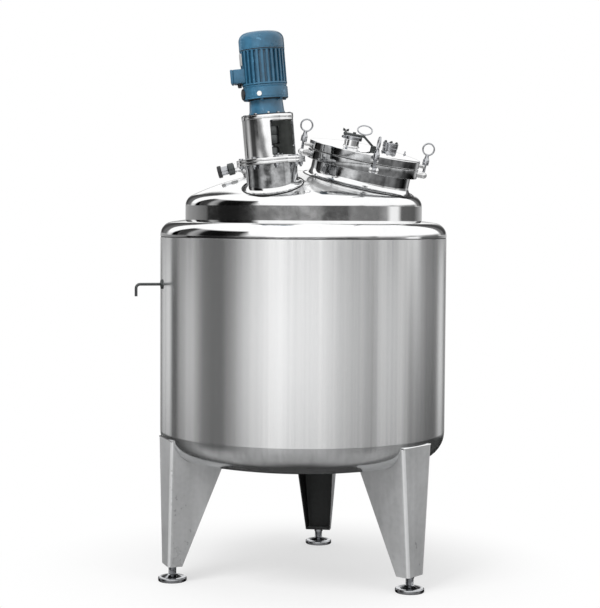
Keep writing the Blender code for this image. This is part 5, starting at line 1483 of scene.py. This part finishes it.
nuts = [
    (wing_nut(0.013), at(-0.033, 0.0, bar_top) @ facing(15.0)),
    (hexagon(0.012, 0.0, 0.006), at(0.004, 0.0, bar_top)),
]
finish_piece("bar_wing_nut", gather(nuts), PORT_AT, "lid", CAST_STEEL)
loop_rise = LOOP_RADIUS * math.sin(LOOP_LEAN) + LOOP_WIRE + TOUCH
loop_shift = LOOP_TURN @ Vector((0.0, LOOP_RADIUS * math.cos(LOOP_LEAN), loop_rise))
loop_place = at(0.042, 0.0, bar_top) @ at(*loop_shift) @ LOOP_TURN @ Matrix.Rotation(LOOP_LEAN, 4, "X")
loop = wire_ring(LOOP_RADIUS, LOOP_WIRE)
finish_piece("loop_handle", loop, PORT_AT @ loop_place, "lid", SATIN_STEEL, "port_handle")
print("loop handle rises", round(loop_rise, 4), "m above the bar")

# %% [markdown]
# ## Sight glass
# A thick glass disc lies in a bolted frame on the lid. Six studs with nuts stand around the cover
# ring, and a small plain stud beside it earths the lid.

# %% Sight glass
GLASS_BORE = 0.0180
GLASS_RADIUS = 0.0320
EARTH = (0.170, 0.020)
glass_foot = crown_at(*GLASS_PLACE)
glass_top = glass_foot + 0.024
cover_low = glass_top + TOUCH
cover_top = cover_low + 0.008

seat = turned(
    [(0.0310, glass_top), (GLASS_RADIUS, glass_top - 0.001), (GLASS_RADIUS, glass_foot + 0.012),
     (0.0300, glass_foot + 0.010), (0.0300, 0.05), (GLASS_BORE, 0.05), (GLASS_BORE, glass_top - 0.008),
     (0.0253, glass_top - 0.008), (0.0253, glass_top)], 64,
)
seat = slid_to_lid(seat, GLASS_PLACE, 0.1)
finish_piece("glass_seat", seat, GLASS_AT, "lid", SATIN_STEEL, "sight_glass_frame")
pane = soften(disc(0.025, glass_top - 0.0077, glass_top, 64), 0.0006)
finish_piece("glass_disc", pane, GLASS_AT, "lid", GLASS, "sight_glass")
cover = soften(hoop(GLASS_RADIUS, GLASS_BORE, cover_low, cover_top, 64), 0.0012, 3)
finish_piece("glass_cover", cover, GLASS_AT, "lid", SATIN_STEEL, "sight_glass_cover")
studs = []
for place in around(6, 0.0262, 15.0, cover_top):
    studs.append((hexagon(0.0090, 0.0, 0.0050), place))
    studs.append((threaded(0.0026, 0.0, 0.0070, 0.0012, 0.0004, 12), place))
finish_piece("glass_studs", gather(studs), GLASS_AT, "lid", CAST_STEEL)
earth_foot = crown_at(*EARTH) - 0.001
earth_rod = threaded(0.003, earth_foot, earth_foot + 0.016, 0.0012, 0.0004, 12)
earth = gather([hexagon(0.010, earth_foot, earth_foot + 0.005), earth_rod])
finish_piece("earth_stud", earth, MANWAY @ at(*EARTH), "lid", SATIN_STEEL)
print("lid fittings ready, the cover with", len(studs) // 2, "studs")

# %% [markdown]
# ## Side nozzle
# Behind the drive an elbow rises from the head and turns to the left. Its clamp holds a dark
# closed end piece. The elbow is a circle that is pulled up, spun through the bend and pulled on.

# %% Elbow
BEND = 0.038
FALL = 15.0
ELBOW_RADIUS = 0.019
ELBOW_FOOT = 0.020
ELBOW_END = 0.024


def edges_of(geometry):
    """The edges among a list of geometry."""
    return [item for item in geometry if isinstance(item, bmesh.types.BMEdge)]


elbow = bmesh.new()
bmesh.ops.create_circle(elbow, segments=40, radius=ELBOW_RADIUS, cap_ends=False)
foot_ring = elbow.edges[:]
bmesh.ops.translate(elbow, vec=(0.0, 0.0, -ELBOW_FOOT), verts=elbow.verts)
raised = bmesh.ops.extrude_edge_only(elbow, edges=foot_ring)
bmesh.ops.translate(elbow, vec=(0.0, 0.0, ELBOW_FOOT), verts=verts_of(raised))
bent = bmesh.ops.spin(
    elbow, geom=verts_of(raised) + edges_of(raised["geom"]), cent=(-BEND, 0.0, 0.0), axis=(0, -1, 0),
    dvec=(0, 0, 0), angle=math.radians(90.0 + FALL), steps=20, use_merge=False, use_normal_flip=False,
    use_duplicate=False,
)
raised = bmesh.ops.extrude_edge_only(elbow, edges=edges_of(bent["geom_last"]))
fall = math.radians(FALL)
along = Vector((-math.cos(fall), 0.0, -math.sin(fall)))
bmesh.ops.translate(elbow, vec=along * ELBOW_END, verts=verts_of(raised))
bmesh.ops.recalc_face_normals(elbow, faces=elbow.faces)
elbow_piece = finish_piece("nozzle_elbow", elbow, NOZZLE, "tank", MIRROR_STEEL, "side_nozzle")
pipe_wall = elbow_piece.modifiers.new("wall", "SOLIDIFY")
pipe_wall.thickness = 0.002
pipe_wall.offset = -1.0
print("elbow turns by", 90.0 + FALL, "degrees")

# %% Clamp and end piece
END_TURN = Matrix.Rotation(-math.pi / 2 - fall, 4, "Y")
NOZZLE_END = NOZZLE @ at(-BEND * (1.0 + math.sin(fall)), 0.0, BEND * math.cos(fall)) @ END_TURN
SLEEVE_LOW = 0.0375
end_top = 0.0243 + 0.058

clamp = turned(
    [(0.0235, 0.037), (0.0255, 0.034), (0.0255, 0.014), (0.0235, 0.011), (0.0193, 0.011),
     (0.0193, 0.037)], 48,
)
lug = soften(cuboid((0.022, -0.008, 0.017), (0.034, 0.008, 0.031)), 0.0015)
wing_place = facing(90.0) @ at(0.028, -0.008, 0.024) @ UPRIGHT
clamp = gather([clamp, (lug, facing(90.0)), (wing_nut(0.012), wing_place)])
finish_piece("nozzle_clamp_ring", clamp, NOZZLE_END, "tank", CAST_STEEL, "nozzle_clamp")
end_piece = turned(
    [(0.0, end_top), (0.0235, end_top), (0.0260, end_top - 0.0025), (0.0260, end_top - 0.0145),
     (0.0240, end_top - 0.017)], 48,
)
bmesh.ops.holes_fill(end_piece, edges=[edge for edge in end_piece.edges if edge.is_boundary], sides=0)
finish_piece("nozzle_cap", end_piece, NOZZLE_END, "tank", BLACK, "nozzle_end_piece")
sleeve_top = end_top - 0.0168
sleeve = turned([(0.0190, sleeve_top), (0.0190, SLEEVE_LOW), (0.0, SLEEVE_LOW), (0.0, sleeve_top)], 48)
finish_piece("nozzle_sleeve", soften(sleeve, 0.0008), NOZZLE_END, "tank", SATIN_STEEL)
print("end piece reaches", round(end_top, 4), "m past the bend")

# %% [markdown]
# ## Vent, vessel bottom and outlet
# The thin vent tube on the left and the outlet under the tank have plain shapes, and the solids
# already hold them. A merged copy, with a light bevel on the vent's pad, only takes the facets away.

# %% Vent, vessel bottom and outlet
smoothed("vent_elbow", "tank", CAST_STEEL)
smoothed("vent_pad", "tank", CAST_STEEL, edge=0.0008)
smoothed("vessel_bottom", "tank", SATIN_STEEL)
smoothed("bottom_outlet", "tank", SATIN_STEEL)
print("vent and outlet ready")

# %% [markdown]
# ## Legs
# Each leg is a channel folded from 6 mm plate, wide under the tank and narrow at the foot. The
# folds have a large radius, and a lighter steel on them paints the bright line that they catch. The
# top is cut to the round of the bottom and welded on with a bead along the upper edge of its face.
# Inside, the plate is near-black: painted shade.

# %% Shape of a leg
LEG_AZIMUTHS = {"left": 200.0, "right": 320.0, "rear": 82.0}
FACE = 0.606
LEG_TOP_EDGE = 0.578
LEG_LOW_HEIGHT = 0.068 - LIFT
LEG_TOP_HEIGHT = 0.588
LEG_WIDTHS = (0.112, 0.200)
LEG_DEPTHS = (0.060, 0.270)
LEG_PLATE = 0.006
OPEN_BEHIND = 0.02
FOLD = 0.015
SLACK = 0.0002
SMOOTH_FACES = (0.08, 0.995)  # how much of a face's normal points outward
# faces of the folds that get the painted highlight
HIGHLIGHT_FACES = (0.42, 0.998)


def leg_section(height, plate):
    """Depth of the inner side, depth of the face and half width of a leg at a height."""
    share = (height - LEG_LOW_HEIGHT) / (LEG_TOP_HEIGHT - LEG_LOW_HEIGHT)
    width = LEG_WIDTHS[0] + (LEG_WIDTHS[1] - LEG_WIDTHS[0]) * share
    depth = LEG_DEPTHS[0] + (LEG_DEPTHS[1] - LEG_DEPTHS[0]) * share
    return FACE - depth - (OPEN_BEHIND if plate else 0.0), FACE - plate, width / 2 - plate


def leg_solid(low, high, plate, fold):
    """A tapered block whose two outer folds are rounded."""
    shape = bmesh.new()
    bmesh.ops.create_cube(shape, size=2.0)
    for vert in shape.verts:
        height = high if vert.co.z > 0 else low
        inner, outer, half = leg_section(height, plate)
        vert.co = (outer if vert.co.x > 0 else inner, math.copysign(half, vert.co.y), height)
    folds = [edge for edge in shape.edges
             if all(vert.co.x > FACE - plate - 0.001 for vert in edge.verts)
             and abs(edge.verts[0].co.z - edge.verts[1].co.z) > 0.1]
    bmesh.ops.bevel(shape, geom=folds, offset=fold, affect="EDGES", segments=7, profile=0.5, material=-1)
    return shape


def finish_channel(leg, place):
    """Gives the inside of the channel a near-black steel as painted shade, and its folds a lighter steel as a
    painted highlight.
    """
    leg.data.materials.append(SHADED_INSIDE_STEEL)
    leg.data.materials.append(FOLD_HIGHLIGHT_STEEL)
    back = place.inverted()
    for face in leg.data.polygons:
        spot = back @ face.center
        inner, outer, half = leg_section(spot.z, LEG_PLATE)
        front = back.to_3x3() @ face.normal
        face.use_smooth = SMOOTH_FACES[0] < front.x < SMOOTH_FACES[1]
        # The inside gets painted shade, and the folds a painted highlight.
        if spot.x < outer + SLACK and abs(spot.y) < half + SLACK and face.normal.z < 0.5:
            face.material_index = 1
        elif HIGHLIGHT_FACES[0] < front.x < HIGHLIGHT_FACES[1] and abs(front.z) < 0.3:
            face.material_index = 2


print("legs narrow from", LEG_WIDTHS[1], "to", LEG_WIDTHS[0], "m")

# %% Legs
INNER_TOP = 0.64
TRIM_TOP = 0.70
TRIM_RADIUS = WALL_RADIUS + TOUCH
WELD_RADIUS = 0.0045
WELD_STOPS = (-0.094, -0.04, 0.04, 0.094)

for side, azimuth in LEG_AZIMUTHS.items():
    turn = TANK @ facing(azimuth)
    block = leg_solid(LEG_LOW_HEIGHT, LEG_TOP_EDGE, 0.0, FOLD)
    leg = finish_piece("leg_" + side + "_channel", block, turn, "tank", LEG_STEEL, "leg_" + side)
    hollow = leg_solid(LEG_LOW_HEIGHT + LEG_PLATE, INNER_TOP, LEG_PLATE, FOLD - LEG_PLATE)
    round_bottom = dish(TRIM_RADIUS, BOTTOM_KNUCKLE + TOUCH, BOTTOM_CROWN + TOUCH, BOTTOM_RIM, -1)
    trim = turned([(0.0, TRIM_TOP), (TRIM_RADIUS, TRIM_TOP)] + round_bottom, SHELL_STEPS)
    cut_piece(leg, [(hollow, turn), (trim, TANK)])
    finish_channel(leg, turn)
    weld = swept([Vector((0.6010, aside, LEG_TOP_EDGE + 0.001)) for aside in WELD_STOPS], WELD_RADIUS, 12)
    finish_piece("leg_" + side + "_weld", weld, turn, "tank", MIRROR_STEEL)
print("legs:", len(LEG_AZIMUTHS))

# %% [markdown]
# ## Feet
# A threaded stem with a lock nut carries each leg on a round pad with a rolled rim, whose middle
# rises in a low cone.

# %% Feet
FOOT_OUT = 0.573
PAD_TOP = 0.0300
PAD_RIM = 0.0596

for side, azimuth in LEG_AZIMUTHS.items():
    place = TANK @ facing(azimuth) @ at(FOOT_OUT, 0.0, -LIFT)
    stem = gather([threaded(0.0165, 0.0303, 0.0670, 0.0030, 0.0010, 32), hexagon(0.0340, 0.0555, 0.0675)])
    finish_piece("foot_" + side + "_stem", stem, place, "tank", SATIN_STEEL, "foot_stem_" + side)
    cone = [
        (0.0, PAD_TOP), (0.0185, PAD_TOP), (0.0200, 0.0285), (0.0225, 0.0262), (0.0410, 0.0196),
        (0.0440, 0.0180), (0.0560, 0.0180),
    ]
    rolled = arc((PAD_RIM - 0.005, 0.0130), 0.005, 80.0, 0.0, 6)
    under = [(PAD_RIM, 0.0040), (PAD_RIM - 0.001, 0.0015), (PAD_RIM - 0.003, 0.0), (0.0, 0.0)]
    pad = turned(cone + rolled + under, 64)
    finish_piece("foot_" + side + "_pad", pad, place, "tank", SATIN_STEEL, "foot_pad_" + side)
print("feet ready")
